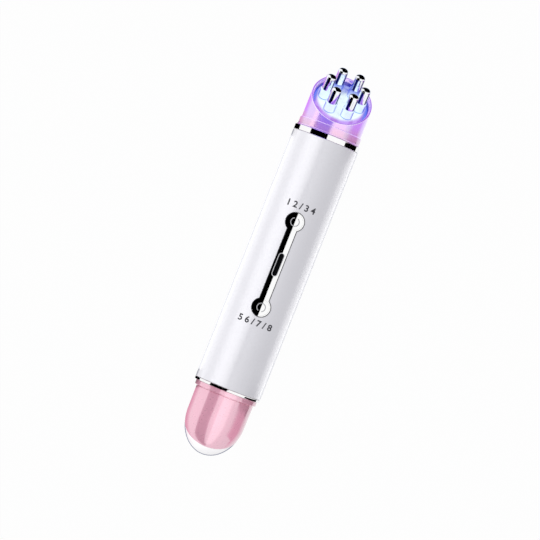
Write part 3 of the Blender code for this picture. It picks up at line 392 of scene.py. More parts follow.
def vary_colour(tree, colour, change=0.06, scale=300):
    """The colour, a little darker in soft patches."""
    patches = use_group(tree, "grain", Scale=scale)
    darker = tuple(part * (1 - change) for part in colour)
    return mix_colours(tree, patches["Value"], darker, colour)


def edge_share(tree, low, high):
    """0 where the surface faces the eye and 1 where it is seen edge on."""
    edge = add_node(tree, "ShaderNodeLayerWeight")
    edge.inputs["Blend"].default_value = 0.5
    return map_range(tree, edge.outputs["Facing"], low, high, smooth=True)


def plain_finish(name, colour, roughness, metallic=0.0, group="grain", scale=1500, depth=0.00001):
    """A finish of one colour, with its grain, for moulded, plated or painted pieces."""
    material, tree, shader = new_material(name, {"Metallic": metallic})
    feed(tree, vary_colour(tree, colour), shader.inputs["Base Color"])
    add_surface(tree, shader, roughness, group, scale, depth)
    return material


def pearl_finish(colour):
    """Pearl lacquer: fine flecks and soft clouds under a clear coat, and a painted bluish reflection where
    it is seen edge on.
    """
    plain = {"Coat Weight": 1.0, "Coat Roughness": 0.20, "Specular IOR Level": 0.2}
    material, tree, shader = new_material("pearl_lacquer", plain)
    flecks = use_group(tree, "flecks", Scale=3200, Size=0.30)
    cool = tuple(min(part * shift, 1) for part, shift in zip(colour, (1.01, 1.02, 1.05)))
    base = mix_colours(tree, flecks["Mask"], vary_colour(tree, colour, 0.01, 120), cool)
    # Painted reflection: the base turns bluish where the surface is seen edge on
    base = mix_colours(tree, edge_share(tree, 0.72, 0.95), base, (0.58, 0.62, 0.82))
    feed(tree, base, shader.inputs["Base Color"])
    add_surface(tree, shader, 0.30, scale=900, depth=0.0000008)
    return material


def chrome_finish(name, colour, roughness, edge_colour):
    """Bright plating, tinted where it is seen edge on."""
    material, tree, shader = new_material(name, {"Metallic": 1.0})
    plating = vary_colour(tree, colour, 0.02, 900)
    base = mix_colours(tree, edge_share(tree, 0.55, 0.90), plating, edge_colour)
    feed(tree, base, shader.inputs["Base Color"])
    add_surface(tree, shader, roughness, "brushed", 6000, 0.0000008)
    return material


def pin_finish(colour, dark):
    """Mirror plating of the pins, with painted dark upright streaks for the reflection of the wall round
    them, and a painted blue reflection where they are seen edge on.
    """
    material, tree, shader = new_material("pin_plating", {"Metallic": 1.0})
    normal = world_normal(tree)
    across = split(tree, normal)["Y"]
    along = calculate_vector(tree, "DOT_PRODUCT", normal, (math.cos(HEAD_SLANT), 0, math.sin(HEAD_SLANT)))
    # Painted reflection: dark streaks on the pins' sides that face +y and -y
    left = between(tree, across, 0.16, 0.66)
    right = between(tree, across, -0.96, -0.72)
    side = between(tree, along, -0.3, 0.3)
    painted_streak = calculate(tree, "MULTIPLY", calculate(tree, "MAXIMUM", left, right), side)
    plating = vary_colour(tree, colour, 0.02, 900)
    # Painted reflection: blue where the pins are seen edge on
    base = mix_colours(tree, edge_share(tree, 0.60, 0.92), plating, (0.14, 0.36, 0.90))
    feed(tree, mix_colours(tree, painted_streak, base, dark), shader.inputs["Base Color"])
    add_surface(tree, shader, 0.03, "brushed", 6000, 0.0000003)
    return material


def head_finish(sizes):
    """Pink translucent plastic that turns violet towards the lit rim and inside the cup. The violet and blue
    are painted lamp light and shade, with a painted highlight line and a painted bluer stripe where a
    reflection falls.
    """
    plain = {"Coat Roughness": 0.20, "Coat IOR": 4.0, "Emission Strength": 1.0}
    material, tree, shader = new_material("head_plastic", plain)
    pink_height = 0.0035
    skin = 0.00003
    wall_fade = 0.00015
    lip_fade = 0.0001
    flange = HEAD_LOW.x + sizes.spigot_length + sizes.lip_thickness
    violet = flange + sizes.flange_thickness + pink_height
    cup = sizes.radius - sizes.cup_wall
    lip_low = sizes.radius - sizes.rim_wall
    up = use_group(tree, "lengthwise", Start=flange, End=violet)["Share"]
    outside = use_group(tree, "from_axis", Inner=cup + skin, Outer=cup + wall_fade)["Share"]
    lip = use_group(tree, "from_axis", Inner=lip_low - lip_fade, Outer=lip_low)["Share"]
    normal = split(tree, world_normal(tree))
    rim = map_range(tree, normal["X"], 0.70, 0.77, smooth=True)
    # Painted highlight: a light line on faces turned part way towards the head's end
    line = between(tree, normal["X"], 0.25, 0.68)
    # Painted reflection: a bluer stripe of light on faces turned towards +y
    glow = between(tree, normal["Y"], 0.02, 0.50, 0.12)
    # The plastic's colour, with painted light and shade: violet towards the rim, a light line, a dark rim
    # under its painted glow and dark blue inside the cup
    outer = mix_colours(tree, up, vary_colour(tree, sizes.pink, 0.05, 400), sizes.violet)
    outer = mix_colours(tree, line, outer, (0.62, 0.52, 0.72))
    outer = mix_colours(tree, rim, outer, (0.15, 0.05, 0.20))
    feed(tree, mix_colours(tree, outside, (0.03, 0.03, 0.30), outer), shader.inputs["Base Color"])
    bare = calculate(tree, "SUBTRACT", outside, rim)
    feed(tree, map_range(tree, bare, 0, 1, 0.1, 1), shader.inputs["Coat Weight"])
    # The light that the lamps send through it, painted as a glow, with the painted light line and the
    # painted bluer stripe
    lit_side = mix_colours(tree, up, (0.10, 0.05, 0.18), (0.26, 0.14, 0.55))
    painted_stripe_light = mix_colours(tree, up, (0.06, 0.04, 0.62), (0.10, 0.06, 0.90))
    lit_outer = mix_colours(tree, glow, lit_side, painted_stripe_light)
    lit_outer = mix_colours(tree, line, lit_outer, (0.50, 0.40, 0.70))
    lit = mix_colours(tree, outside, (0.02, 0.02, 0.22), lit_outer)
    lit_rim = mix_colours(tree, lip, (0.50, 0.24, 0.72), (0.32, 0.09, 0.68))
    feed(tree, mix_colours(tree, rim, lit, lit_rim), shader.inputs["Emission Color"])
    add_surface(tree, shader, 0.20, scale=1200, depth=0.000001)
    return material


def floor_finish(sizes):
    """The clear floor over the lamps, with a painted glow and painted shade: near white in the middle, blue
    and violet towards the wall.
    """
    plain = {"Coat Weight": 1.0, "Coat Roughness": 0.03, "Emission Strength": 1.0}
    material, tree, shader = new_material("lit_floor", plain)
    back_low = 0.0012
    back_high = 0.0050
    border_low = 0.0082
    border_high = 0.0100
    border_back = 0.0022
    side_edges = (0.0084, 0.0098)
    raised_low = 0.0002
    raised_high = 0.0007
    line_low = 0.00010
    line_high = 0.00045
    line_fade = 0.00005
    rim = HEAD_HIGH.x - sizes.radius * math.tan(HEAD_SLANT)
    # Painted shade: bluer towards the back of the cup, the wall and the sides, and where the floor is seen
    # edge on
    back = use_group(tree, "lengthwise", Start=rim + back_low, End=rim + back_high)["Share"]
    ripple = use_group(tree, "grain", Scale=450, Low=-0.25, High=0.10)["Value"]
    share = calculate(tree, "MAXIMUM", calculate(tree, "ADD", back, ripple), edge_share(tree, 0.55, 0.85))
    border = use_group(tree, "from_axis", Inner=border_low, Outer=border_high, Back=border_back)["Share"]
    front = mix_colours(tree, border, sizes.glow, (0.38, 0.10, 0.66))
    place = place_in_object(tree)
    across = calculate(tree, "ABSOLUTE", split(tree, place)["Y"])
    side = map_range(tree, across, *side_edges, smooth=True)
    front = mix_colours(tree, side, front, (0.08, 0.14, 0.80))
    # The pedestals, painted dark blue where seen edge on, and a painted shadow line where they stand on the
    # floor
    square = (math.cos(HEAD_SLANT), 0, math.sin(HEAD_SLANT))
    height = calculate_vector(tree, "DOT_PRODUCT", place, square)
    level = rim * square[0] + AXIS_HEIGHT * square[2] - sizes.cup_depth
    raised = map_range(tree, height, level + raised_low, level + raised_high, smooth=True)
    pedestal = mix_colours(tree, edge_share(tree, 0.38, 0.66), (0.66, 0.80, 0.92), (0.02, 0.05, 0.45))
    front = mix_colours(tree, raised, front, pedestal)
    line = between(tree, height, level + line_low, level + line_high, line_fade)
    front = mix_colours(tree, line, front, (0.06, 0.20, 0.62))
    base = mix_colours(tree, share, (0.22, 0.26, 0.28), (0.05, 0.06, 0.40))
    feed(tree, base, shader.inputs["Base Color"])
    feed(tree, mix_colours(tree, share, front, sizes.blue), shader.inputs["Emission Color"])
    add_surface(tree, shader, 0.10, scale=1400, depth=0.000002)
    return material


def foot_finish(colour):
    """Pink plastic with a satin sheen under a gloss coat."""
    plain = {"Coat Weight": 1.0, "Coat Roughness": 0.10, "Coat IOR": 2.6, "Metallic": 0.2}
    material, tree, shader = new_material("foot_plastic", plain)
    feed(tree, vary_colour(tree, colour, 0.02, 250), shader.inputs["Base Color"])
    add_surface(tree, shader, 0.30, scale=1100, depth=0.0000003, spread=0.1)
    return material


def tip_finish(colour):
    """Milky clear plastic with a painted glow for the light passing through it, darker and without gloss
    where it is seen edge on, as a painted dark outline.
    """
    plain = {"Coat Roughness": 0.03, "Specular IOR Level": 0.0, "Emission Strength": 0.22}
    material, tree, shader = new_material("milky_plastic", plain)
    edge = edge_share(tree, 0.70, 0.86)
    feed(tree, map_range(tree, edge, 0, 1, 1, 0), shader.inputs["Coat Weight"])
    feed(tree, mix_colours(tree, edge, colour, (0.0, 0.0, 0.0)), shader.inputs["Emission Color"])
    base = mix_colours(tree, edge, vary_colour(tree, colour, 0.03, 400), (0.14, 0.17, 0.32))
    feed(tree, base, shader.inputs["Base Color"])
    add_surface(tree, shader, 0.08, scale=900, depth=0.0000008)
    return material


def lamp_finish(name, colour, strength):
    material, tree, shader = new_material(name, {"Emission Strength": strength})
    for label in ("Base Color", "Emission Color"):
        feed(tree, vary_colour(tree, colour, 0.1, 2500), shader.inputs[label])
    add_surface(tree, shader, 0.3)
    return material


def numbered(name, count):
    return tuple(f"{name}_{number}" for number in range(1, count + 1))


# Name, colour, roughness, metallic value, texture, its scale and its depth, and the nodes that wear it
INNER_FINISHES = (
    ("nylon", (0.78, 0.78, 0.75), 0.5, 0.0, "grain", 1200, 0.00003,
     ("inner_frame", "upper_switch_stem", "lower_switch_stem")),
    ("solder_mask", (0.02, 0.20, 0.08), 0.35, 0.0, "grain", 2500, 0.00002,
     ("main_board", "socket_board", "lamp_board")),
    ("black_resin", (0.02, 0.02, 0.022), 0.4, 0.0, "grain", 3000, 0.00001,
     ("controller_chip", "upper_switch", "lower_switch")),
    ("ferrite", (0.06, 0.06, 0.065), 0.6, 0.0, "grain", 4000, 0.00003, ("boost_coil",)),
    ("aluminium", (0.75, 0.76, 0.78), 0.35, 1.0, "brushed", 3000, 0.00001, ("capacitor", "heater_plate")),
    ("steel", (0.56, 0.57, 0.59), 0.28, 1.0, "brushed", 4500, 0.000006,
     (*numbered("board_screw", 4), "vibration_motor", "motor_shaft", "charging_socket")),
    ("brass", (0.76, 0.56, 0.22), 0.3, 1.0, "brushed", 4000, 0.000006,
     ("eccentric_weight", *numbered("electrode_nut", 6))),
    ("cell_wrap", (0.05, 0.16, 0.46), 0.35, 0.0, "brushed", 1500, 0.00001, ("battery_cell",)),
    ("silicone", (0.10, 0.10, 0.11), 0.7, 0.0, "grain", 2000, 0.00002, ("head_seal", "foot_seal")),
    ("amber_film", (0.60, 0.28, 0.05), 0.4, 0.0, "brushed", 9000, 0.00001,
     ("head_ribbon", "foot_ribbon", "thermistor")),
    ("red_lead", (0.50, 0.02, 0.02), 0.45, 0.0, "grain", 2500, 0.00001, ("battery_lead_positive",)),
    ("black_lead", (0.02, 0.02, 0.02), 0.45, 0.0, "grain", 2500, 0.00001, ("battery_lead_negative",)),
)


# Meshes


def add_object(name, data):
    made = bpy.data.objects.new(name, data)
    bpy.context.scene.collection.objects.link(made)
    return made


def new_piece(name, mesh, material, body, slot, *nodes, sharp=SHARP_ANGLE):
    """A finished piece that rides on a body and stands for the given nodes."""
    piece = add_object(name, mesh)
    mesh.materials.clear()
    mesh.materials.append(material)
    mesh.shade_smooth()
    mesh.set_sharp_from_angle(angle=sharp)
    even = piece.modifiers.new("even shading", "WEIGHTED_NORMAL")
    even.keep_sharp = True
    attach(piece, body)
    if nodes:
        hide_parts(*nodes)


def mesh_from(name, shape, matrix=None):
    if matrix is not None:
        shape.transform(matrix)
    bmesh.ops.recalc_face_normals(shape, faces=shape.faces)
    mesh = bpy.data.meshes.new(name)
    shape.to_mesh(mesh)
    shape.free()
    return mesh


def opened(mesh):
    """A mesh as a bmesh. The mesh is removed."""
    shape = bmesh.new()
    shape.from_mesh(mesh)
    bpy.data.meshes.remove(mesh)
    return shape


def evaluated(source):
    """A new mesh of an object, as its modifiers leave it."""
    bpy.context.view_layer.update()
    graph = bpy.context.evaluated_depsgraph_get()
    return bpy.data.meshes.new_from_object(source.evaluated_get(graph))


def parts_of(shape):
    return list(shape.verts) + list(shape.edges) + list(shape.faces)


def round_corners(profile):
    """Points (radius, height, lean) of corners (radius, height, rounding, lean), or the first of these."""
    points = []
    for number, given in enumerate(profile):
        radius, height, rounding, lean = (*given, 0, 0)[:4]
        if not rounding:
            points.append((radius, height, lean))
            continue
        corner = Vector((radius, height))
        legs = []
        for other in (number - 1, (number + 1) % len(profile)):
            leg = Vector(profile[other][:2]) - corner
            legs.append(leg.normalized() * min(rounding, leg.length / 2))
        for step in range(CORNER_STEPS + 1):
            share = step / CORNER_STEPS
            point = corner + legs[0] * (1 - share) ** 2 + legs[1] * share**2
            points.append((*point, lean))
    return points


def lathe(name, profile, matrix=UPRIGHT, segments=SEGMENTS, closed=True, slope=0):
    """Turns a profile's corners round the axis. Those that lean lie on a slanted plane."""
    shape = bmesh.new()
    rings = []
    for radius, height, lean in round_corners(profile):
        if radius < MERGE:
            rings.append([shape.verts.new((0, 0, height))])
            continue
        ring = []
        for step in range(segments):
            turn = 2 * math.pi * step / segments
            x = radius * math.cos(turn)
            ring.append(shape.verts.new((x, radius * math.sin(turn), height - lean * slope * x)))
        rings.append(ring)
    pairs = list(zip(rings, rings[1:]))
    if closed:
        pairs.append((rings[-1], rings[0]))
    for one, two in pairs:
        for step in range(segments):
            after = (step + 1) % segments
            low = [one[step % len(one)], one[after % len(one)]]
            high = [two[after % len(two)], two[step % len(two)]]
            corners = list(dict.fromkeys(low + high))
            if len(corners) > 2:
                shape.faces.new(corners)
    return mesh_from(name, shape, matrix)


def rod(name, radius, low, high, matrix=UPRIGHT, segments=SEGMENTS, edge=0):
    """A solid rod round the axis, with its upper end rounded."""
    profile = [(0, high), (radius, high, edge), (radius, low), (0, low)]
    return lathe(name, profile, matrix, segments, closed=False)


def tube(name, bore, low, high, outer_edge, inner_edge=0):
    """A tube as wide as the handle, with rounded ends."""
    outside = [(HANDLE_RADIUS, low, outer_edge), (HANDLE_RADIUS, high, outer_edge)]
    return lathe(name, [*outside, (bore, high, inner_edge), (bore, low, inner_edge)])


def arc(radius, centre, start, sweep, steps=ARC_STEPS):
    across, along = centre
    turns = [start + sweep * number / steps for number in range(steps + 1)]
    return [(across + radius * math.cos(turn), along + radius * math.sin(turn)) for turn in turns]


def circle(radius, along):
    """Outline of a circle whose middle is so far along the handle."""
    return arc(radius, (0, along), 0, 2 * math.pi)[:-1]


def barbell(end_radius, half_width, half_span=HALF_SPAN):
    """Outline of two round ends joined by a bar. With ends as wide as the bar it is a capsule."""
    meet = math.asin(min(half_width / end_radius, 1))
    sweep = 2 * math.pi - 2 * meet
    upper = arc(end_radius, (0, half_span), meet - math.pi / 2, sweep)
    lower = arc(end_radius, (0, -half_span), meet + math.pi / 2, sweep)
    return upper + lower


def capsule(half_width, half_length, more=0):
    """Outline of a capsule, made larger by so much all round."""
    return barbell(half_width + more, half_width + more, half_length - half_width)


def open_circle(radius, line, gap, gap_turn):
    """Outline of a circle drawn with a thick line and broken by a gap, with round line ends."""
    start = gap_turn + gap / 2
    sweep = 2 * math.pi - gap
    outer = arc(radius + line / 2, (0, 0), start, sweep)
    inner = arc(radius - line / 2, (0, 0), start + sweep, -sweep)
    last = start + sweep
    far_end = (radius * math.cos(last), radius * math.sin(last))
    near_end = (radius * math.cos(start), radius * math.sin(start))
    cap_steps = 8
    far_cap = arc(line / 2, far_end, last, math.pi, cap_steps)[1:-1]
    near_cap = arc(line / 2, near_end, start + math.pi, math.pi, cap_steps)[1:-1]
    return outer + far_cap + inner + near_cap


def mesh_of(curve):
    """A curve or text as a bmesh, with its loose caps welded. The curve is removed."""
    source = add_object(curve.name, curve)
    shape = opened(evaluated(source))
    bpy.data.objects.remove(source)
    bpy.data.curves.remove(curve)
    bmesh.ops.remove_doubles(shape, verts=shape.verts, dist=MERGE)
    return shape


def flat(name, outlines, low, high):
    """A flat piece, as a bmesh: x across, y along and z from low to high. Inner outlines are holes."""
    curve = bpy.data.curves.new(name, "CURVE")
    curve.dimensions = "2D"
    curve.fill_mode = "BOTH"
    curve.extrude = (high - low) / 2
    for outline in outlines:
        spline = curve.splines.new("POLY")
        spline.points.add(len(outline) - 1)
        for point, (across, along) in zip(spline.points, outline):
            point.co = (across, along, 0, 1)
        spline.use_cyclic_u = True
    shape = mesh_of(curve)
    bmesh.ops.translate(shape, verts=shape.verts, vec=(0, 0, (low + high) / 2))
    return shape


def drape(name, shape, radius, station, side=FRONT, step=BEND_STEP):
    """Bends a flat piece over the round of the handle at a station."""
    reach = max(abs(vertex.co.x) for vertex in shape.verts)
    for number in range(-int(reach / step), int(reach / step) + 1):
        place = (number * step, 0, 0)
        bmesh.ops.bisect_plane(
            shape, geom=parts_of(shape), dist=MERGE / 10, plane_co=place, plane_no=(1, 0, 0)
        )
    for vertex in shape.verts:
        across, along, height = vertex.co
        vertex.co = (math.sqrt(radius**2 - across**2) + height, across, along + station)
    return mesh_from(name, shape, UPRIGHT @ side)


def carve(name, mesh, other, operation="DIFFERENCE"):
    """One mesh cut by another or joined to it. Both are removed."""
    piece = add_object(name, mesh)
    tool = add_object(name + "_tool", other)
    boolean = piece.modifiers.new("carve", "BOOLEAN")
    boolean.operation = operation
    boolean.object = tool
    boolean.solver = "EXACT"
    made = evaluated(piece)
    for used in (piece, tool):
        data = used.data
        bpy.data.objects.remove(used)
        bpy.data.meshes.remove(data)
    made.name = name
    return made


def cut_plane(name, mesh, point, normal, edge):
    """The part of a closed mesh behind a plane, closed again, with a fine chamfer at the cut."""
    shape = opened(mesh)
    made = bmesh.ops.bisect_plane(
        shape, geom=parts_of(shape), dist=MERGE / 10, plane_co=point, plane_no=normal, clear_outer=True
    )
    border = [part for part in made["geom_cut"] if isinstance(part, bmesh.types.BMEdge)]
    bmesh.ops.contextual_create(shape, geom=border)
    bmesh.ops.bevel(
        shape, geom=border, offset=edge, segments=2, profile=0.5, affect="EDGES", clamp_overlap=True
    )
    return mesh_from(name, shape)


def quarter_ellipse(radius, height, steps, squareness=2.0):
    """Points of a dome from its widest ring up to its top, as (radius, height)."""
    power = 2 / squareness
    points = []
    for number in range(steps + 1):
        turn = math.pi / 2 * number / steps
        points.append((radius * max(math.cos(turn), 0) ** power, height * math.sin(turn) ** power))
    return points


def seal_groove(node, spigot, seam):
    """Corners of the groove that holds a seal, from its low side up."""
    low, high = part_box(node)
    return [
        (spigot, low.x - seam),
        (GROOVE_RADIUS, low.x - seam),
        (GROOVE_RADIUS, high.x + seam),
        (spigot, high.x + seam),
    ]


# Operators


class MASSAGER_OT_finishes(bpy.types.Operator):
    """Makes the node groups, and the finishes of the pieces inside the handle"""

    bl_idname = "massager.finishes"
    bl_label = "Finishes and inner pieces"

    def execute(self, context):
        make_noise_group("grain", scale=1500, along=1, detail=3, low=0.35)
        make_noise_group("brushed", scale=4000, along=0.03, detail=2, low=0.3)
        make_flecks_group()
        make_lengthwise_group()
        make_from_axis_group()
        for name, colour, roughness, metallic, group, scale, depth, nodes in INNER_FINISHES:
            material = plain_finish(name, colour, roughness, metallic, group, scale, depth)
            for node in nodes:
                dress_node(node, material)
        lit = lamp_finish("lit_lamp", (0.72, 0.86, 1.0), 1.0)
        for node in numbered("lamp", 3):
            dress_node(node, lit)
        dress_node("indicator_lamp", lamp_finish("dark_lamp", (0.70, 0.74, 0.80), 0.0))
        return {"FINISHED"}


def dress_node(node, material):
    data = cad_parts[node].data
    data.materials.clear()
    data.materials.append(material)


class MASSAGER_OT_handle(bpy.types.Operator):
    """Builds the pearl handle, with its recess, wells and slots"""

    bl_idname = "massager.handle"
    bl_label = "Handle"

    def execute(self, context):
        sizes = context.scene.massager_handle
        controls = context.scene.massager_controls
        name = "handle_shell_fine"
        shell = tube(name, sizes.bore, SHELL_LOW.x, SHELL_HIGH.x, sizes.edge, sizes.ring_edge)
        above = HANDLE_RADIUS - sizes.bore
        through = -2 * above
        seam = controls.seam
        recess = barbell(controls.end_radius + seam, controls.bar_half_width + seam)
        well = controls.button_radius + 2 * seam
        window = capsule(controls.window_half_width, controls.window_half_length, seam)
        socket = capsule(sizes.socket_width / 2, sizes.socket_length / 2)
        for outline, low, station, side in (
            (recess, -controls.thickness - seam, PLATE_MIDDLE, FRONT),
            (circle(well, -HALF_SPAN), through, PLATE_MIDDLE, FRONT),
            (circle(well, HALF_SPAN), through, PLATE_MIDDLE, FRONT),
            (window, through, PLATE_MIDDLE, FRONT),
            (socket, through, SOCKET_STATION, BACK),
        ):
            tool = drape("tool", flat("tool", [outline], low, above), SKIN_RADIUS, station, side)
            shell = carve(name, shell, tool)
        new_piece(name, shell, pearl_finish(sizes.pearl), "handle", "pearl_shell", "handle_shell")
        return {"FINISHED"}


class MASSAGER_OT_rings(bpy.types.Operator):
    """Builds the two bright rings at the ends of the handle"""

    bl_idname = "massager.rings"
    bl_label = "Rings"

    def execute(self, context):
        sizes = context.scene.massager_handle
        chrome = chrome_finish("bright_plating", (0.98, 0.98, 0.98), 0.03, (0.85, 0.86, 0.90))
        for node in ("head_ring", "foot_ring"):
            low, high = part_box(node)
            ring = tube(node, sizes.bore, low.x, high.x, sizes.ring_edge)
            new_piece(node + "_fine", ring, chrome, "handle", "bright_trim", node)
        return {"FINISHED"}


class MASSAGER_OT_control_plate(bpy.types.Operator):
    """Builds the barbell plate with a dark seal in its seam as painted shade, and the dark window with a
    light line round it as a painted highlight
    """

    bl_idname = "massager.control_plate"
    bl_label = "Control plate"

    def execute(self, context):
        sizes = context.scene.massager_controls
        gap = sizes.clearance
        low = -sizes.thickness
        deep = -sizes.window_depth
        window = (sizes.window_half_width, sizes.window_half_length)
        plate = (sizes.end_radius - sizes.seam_shade_width, sizes.bar_half_width - sizes.seam_shade_width)
        recess = (sizes.end_radius + sizes.seam - gap, sizes.bar_half_width + sizes.seam - gap)
        hole = sizes.button_radius + sizes.button_seam
        plate_outlines = [
            barbell(*plate),
            circle(hole, -HALF_SPAN),
            circle(hole, HALF_SPAN),
            capsule(*window, sizes.highlight_width + gap),
        ]
        seam_shade_outlines = [barbell(*recess), barbell(*(part + gap for part in plate))]
        highlight_line_outlines = [capsule(*window, sizes.highlight_width), capsule(*window, gap)]
        chrome = bpy.data.materials["bright_plating"]
        smoke = plain_finish("smoke_glass", (0.003, 0.003, 0.004), 0.06, depth=0.000001)
        smoke.node_tree.nodes["Principled BSDF"].inputs["Specular IOR Level"].default_value = 0.03
        # A dark strip in the seam round the plate, as painted seam shade
        seal = plain_finish("dark_seal", (0.03, 0.03, 0.035), 0.6, depth=0.000001)
        # A light grey ring round the window, as a painted highlight of its edge
        line = plain_finish("light_line", (0.80, 0.80, 0.82), 0.4, scale=5000, depth=0.000001)
        for name, outlines, low, high, material, slot, nodes in (
            ("control_plate_fine", plate_outlines, low, 0, chrome, "bright_trim", ["control_plate"]),
            ("control_plate_seal", seam_shade_outlines, low, -gap, seal, "silicone", []),
            ("light_window_fine", [capsule(*window)], deep, -gap, smoke, "smoke_window", ["light_window"]),
            ("light_window_line", highlight_line_outlines, low, -gap, line, "bright_trim", []),
        ):
            mesh = drape(name, flat(name, outlines, low, high), SKIN_RADIUS, PLATE_MIDDLE)
            new_piece(name, mesh, material, "handle", slot, *nodes, sharp=DRAPED_ANGLE)
        return {"FINISHED"}


class MASSAGER_OT_buttons(bpy.types.Operator):
    """Builds the two buttons, each with an open circle cut in it and filled with grey"""

    bl_idname = "massager.buttons"
    bl_label = "Buttons"

    def execute(self, context):
        sizes = context.scene.massager_controls
        chrome = bpy.data.materials["bright_plating"]
        ink = plain_finish("mark_ink", sizes.mark_colour, 0.55, scale=5000)
        deep = sizes.mark_depth
        thin = deep / 8
        for node, station in BUTTON_STATIONS.items():
            gap_turn = math.copysign(math.pi / 2, station)
            mark = open_circle(sizes.mark_radius, sizes.mark_line, sizes.mark_gap, gap_turn)
            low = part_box(node)[0].z - AXIS_HEIGHT - SKIN_RADIUS + sizes.travel + sizes.seam
            cap = mesh_from(node, flat(node, [circle(sizes.button_radius, 0)], low, 0))
            groove = mesh_from("groove", flat("groove", [mark], -deep, deep))
            piece = drape(node, opened(carve(node, cap, groove)), SKIN_RADIUS, station)
            new_piece(node + "_fine", piece, chrome, node, "bright_trim", node, sharp=DRAPED_ANGLE)
            fill = open_circle(sizes.mark_radius, sizes.mark_line - thin, sizes.mark_gap, gap_turn)
            inlay = drape("inlay", flat("inlay", [fill], -deep + thin, -thin), SKIN_RADIUS, station)
            new_piece(node + "_mark", inlay, ink, node, "bright_trim")
        return {"FINISHED"}


class MASSAGER_OT_prints(bpy.types.Operator):
    """Prints plain numbers beyond the two ends of the plate"""

    bl_idname = "massager.prints"
    bl_label = "Printed numbers"

    words = {"upper_button": "1 2 / 3 4", "lower_button": "5 6 / 7 / 8"}

    def execute(self, context):
        sizes = context.scene.massager_handle
        ink = plain_finish("print_ink", sizes.print_colour, 0.6, scale=6000, depth=0.000002)
        thickness = 0.00002
        type_share = 1.25
        for node, text in self.words.items():
            letters = bpy.data.curves.new("numbers", "FONT")
            letters.body = text
            letters.size = sizes.print_height * type_share
            letters.align_x = "CENTER"
            letters.align_y = "CENTER"
            letters.extrude = thickness / 2
            letters.offset = sizes.print_weight
            shape = mesh_of(letters)
            side = math.copysign(1, BUTTON_STATIONS[node])
            end = side * PLATE_LENGTH / 2
            station = end + side * (sizes.print_distance + sizes.print_height / 2)
            bmesh.ops.translate(shape, verts=shape.verts, vec=(0, 0, thickness / 2))
            numbers = drape("numbers", shape, HANDLE_RADIUS, station, step=PRINT_BEND_STEP)
            new_piece(node + "_numbers", numbers, ink, "handle", "smoke_window")
        return {"FINISHED"}


def head_tilt():
    """Where the head's slanted rim crosses the axis, and the frame of that rim."""
    sizes = bpy.context.scene.massager_head
    rim = HEAD_HIGH.x - sizes.radius * math.tan(HEAD_SLANT)
    return rim, UPRIGHT @ Matrix.Translation((0, 0, rim)) @ Matrix.Rotation(HEAD_SLANT, 4, "Y")


def pin_places():
    """Places of the pins on the slanted floor, in the order of their nodes, as frames square to it."""
    tilt = head_tilt()[1]
    half = PIN_SPREAD / 2
    front = [(PIN_ROW, -half), (PIN_ROW, half)]
    back = [(-PIN_ROW, half), (-PIN_ROW, -half)]
    places = [*front, (0, PIN_SPREAD), *back, (0, -PIN_SPREAD)]
    return [tilt @ Matrix.Translation((down, across, 0)) for down, across in places]


class MASSAGER_OT_head(bpy.types.Operator):
    """Builds the slanted cup of the head and its clear floor with six pedestals"""

    bl_idname = "massager.head"
    bl_label = "Head"

    def execute(self, context):
        sizes = context.scene.massager_head
        seam = context.scene.massager_controls.seam
        ledge_width = 0.0005
        board_room = 0.0010
        edge = 0.00025
        flange_edge = 0.0004
        neck_edge = 0.0001
        floor_edge = 0.00015
        pedestal_edge = 0.0003
        rim = head_tilt()[0]
        slope = math.tan(HEAD_SLANT)
        square = 1 / math.cos(HEAD_SLANT)
        low = HEAD_LOW.x
        lip = low + sizes.spigot_length
        flange = lip + sizes.lip_thickness
        flange_high = flange + sizes.flange_thickness
        lip_radius = (HEAD_HIGH.z - HEAD_LOW.z) / 2
        rim_radius = sizes.radius - sizes.rim_wall
        step = rim - sizes.rim_step * square
        cup = sizes.radius - sizes.cup_wall
        ledge = cup - ledge_width
        floor_low = -sizes.cup_depth - sizes.floor_thickness
        seat = rim + (floor_low - seam) * square
        board_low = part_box("lamp_board")[0].x - board_room
        profile = [
            (sizes.spigot_radius, low),
            *seal_groove("head_seal", sizes.spigot_radius, seam),
            (sizes.spigot_radius, lip),
            (lip_radius, lip, edge),
            (lip_radius, flange, edge),
            (sizes.flange_radius, flange),
            (sizes.flange_radius, flange_high, flange_edge),
            (sizes.radius, flange_high, neck_edge),
            (sizes.radius, rim, edge, 1),
            (rim_radius, rim, edge, 1),
            (rim_radius, step, edge, 1),
            (cup, step, edge, 1),
            (cup, seat, 0, 1),
            (ledge, seat, 0, 1),
            (ledge, board_low),
            (sizes.spigot_bore, board_low),
            (sizes.spigot_bore, low),
        ]
        sleeve = lathe("head_sleeve_fine", profile, slope=slope)
        new_piece("head_sleeve_fine", sleeve, head_finish(sizes), "handle", "head_pink", "head_sleeve")
        upper = rim - sizes.cup_depth * square
        lower = rim + floor_low * square
        floor_profile = [
            (0, upper, 0, 1),
            (cup - seam, upper, floor_edge, 1),
            (cup - seam, lower, 0, 1),
            (0, lower, 0, 1),
        ]
        name = "electrode_plate_fine"
        floor = lathe(name, floor_profile, closed=False, slope=slope)
        top = sizes.pedestal_height - sizes.cup_depth
        foot = -sizes.cup_depth - sizes.floor_thickness / 2
        for place in pin_places():
            pedestal = rod("pedestal", sizes.pedestal_radius, foot, top, place, PIN_SEGMENTS, pedestal_edge)
            floor = carve(name, floor, pedestal, "UNION")
        new_piece(name, floor, floor_finish(sizes), "handle", "clear_floor", "electrode_plate")
        return {"FINISHED"}


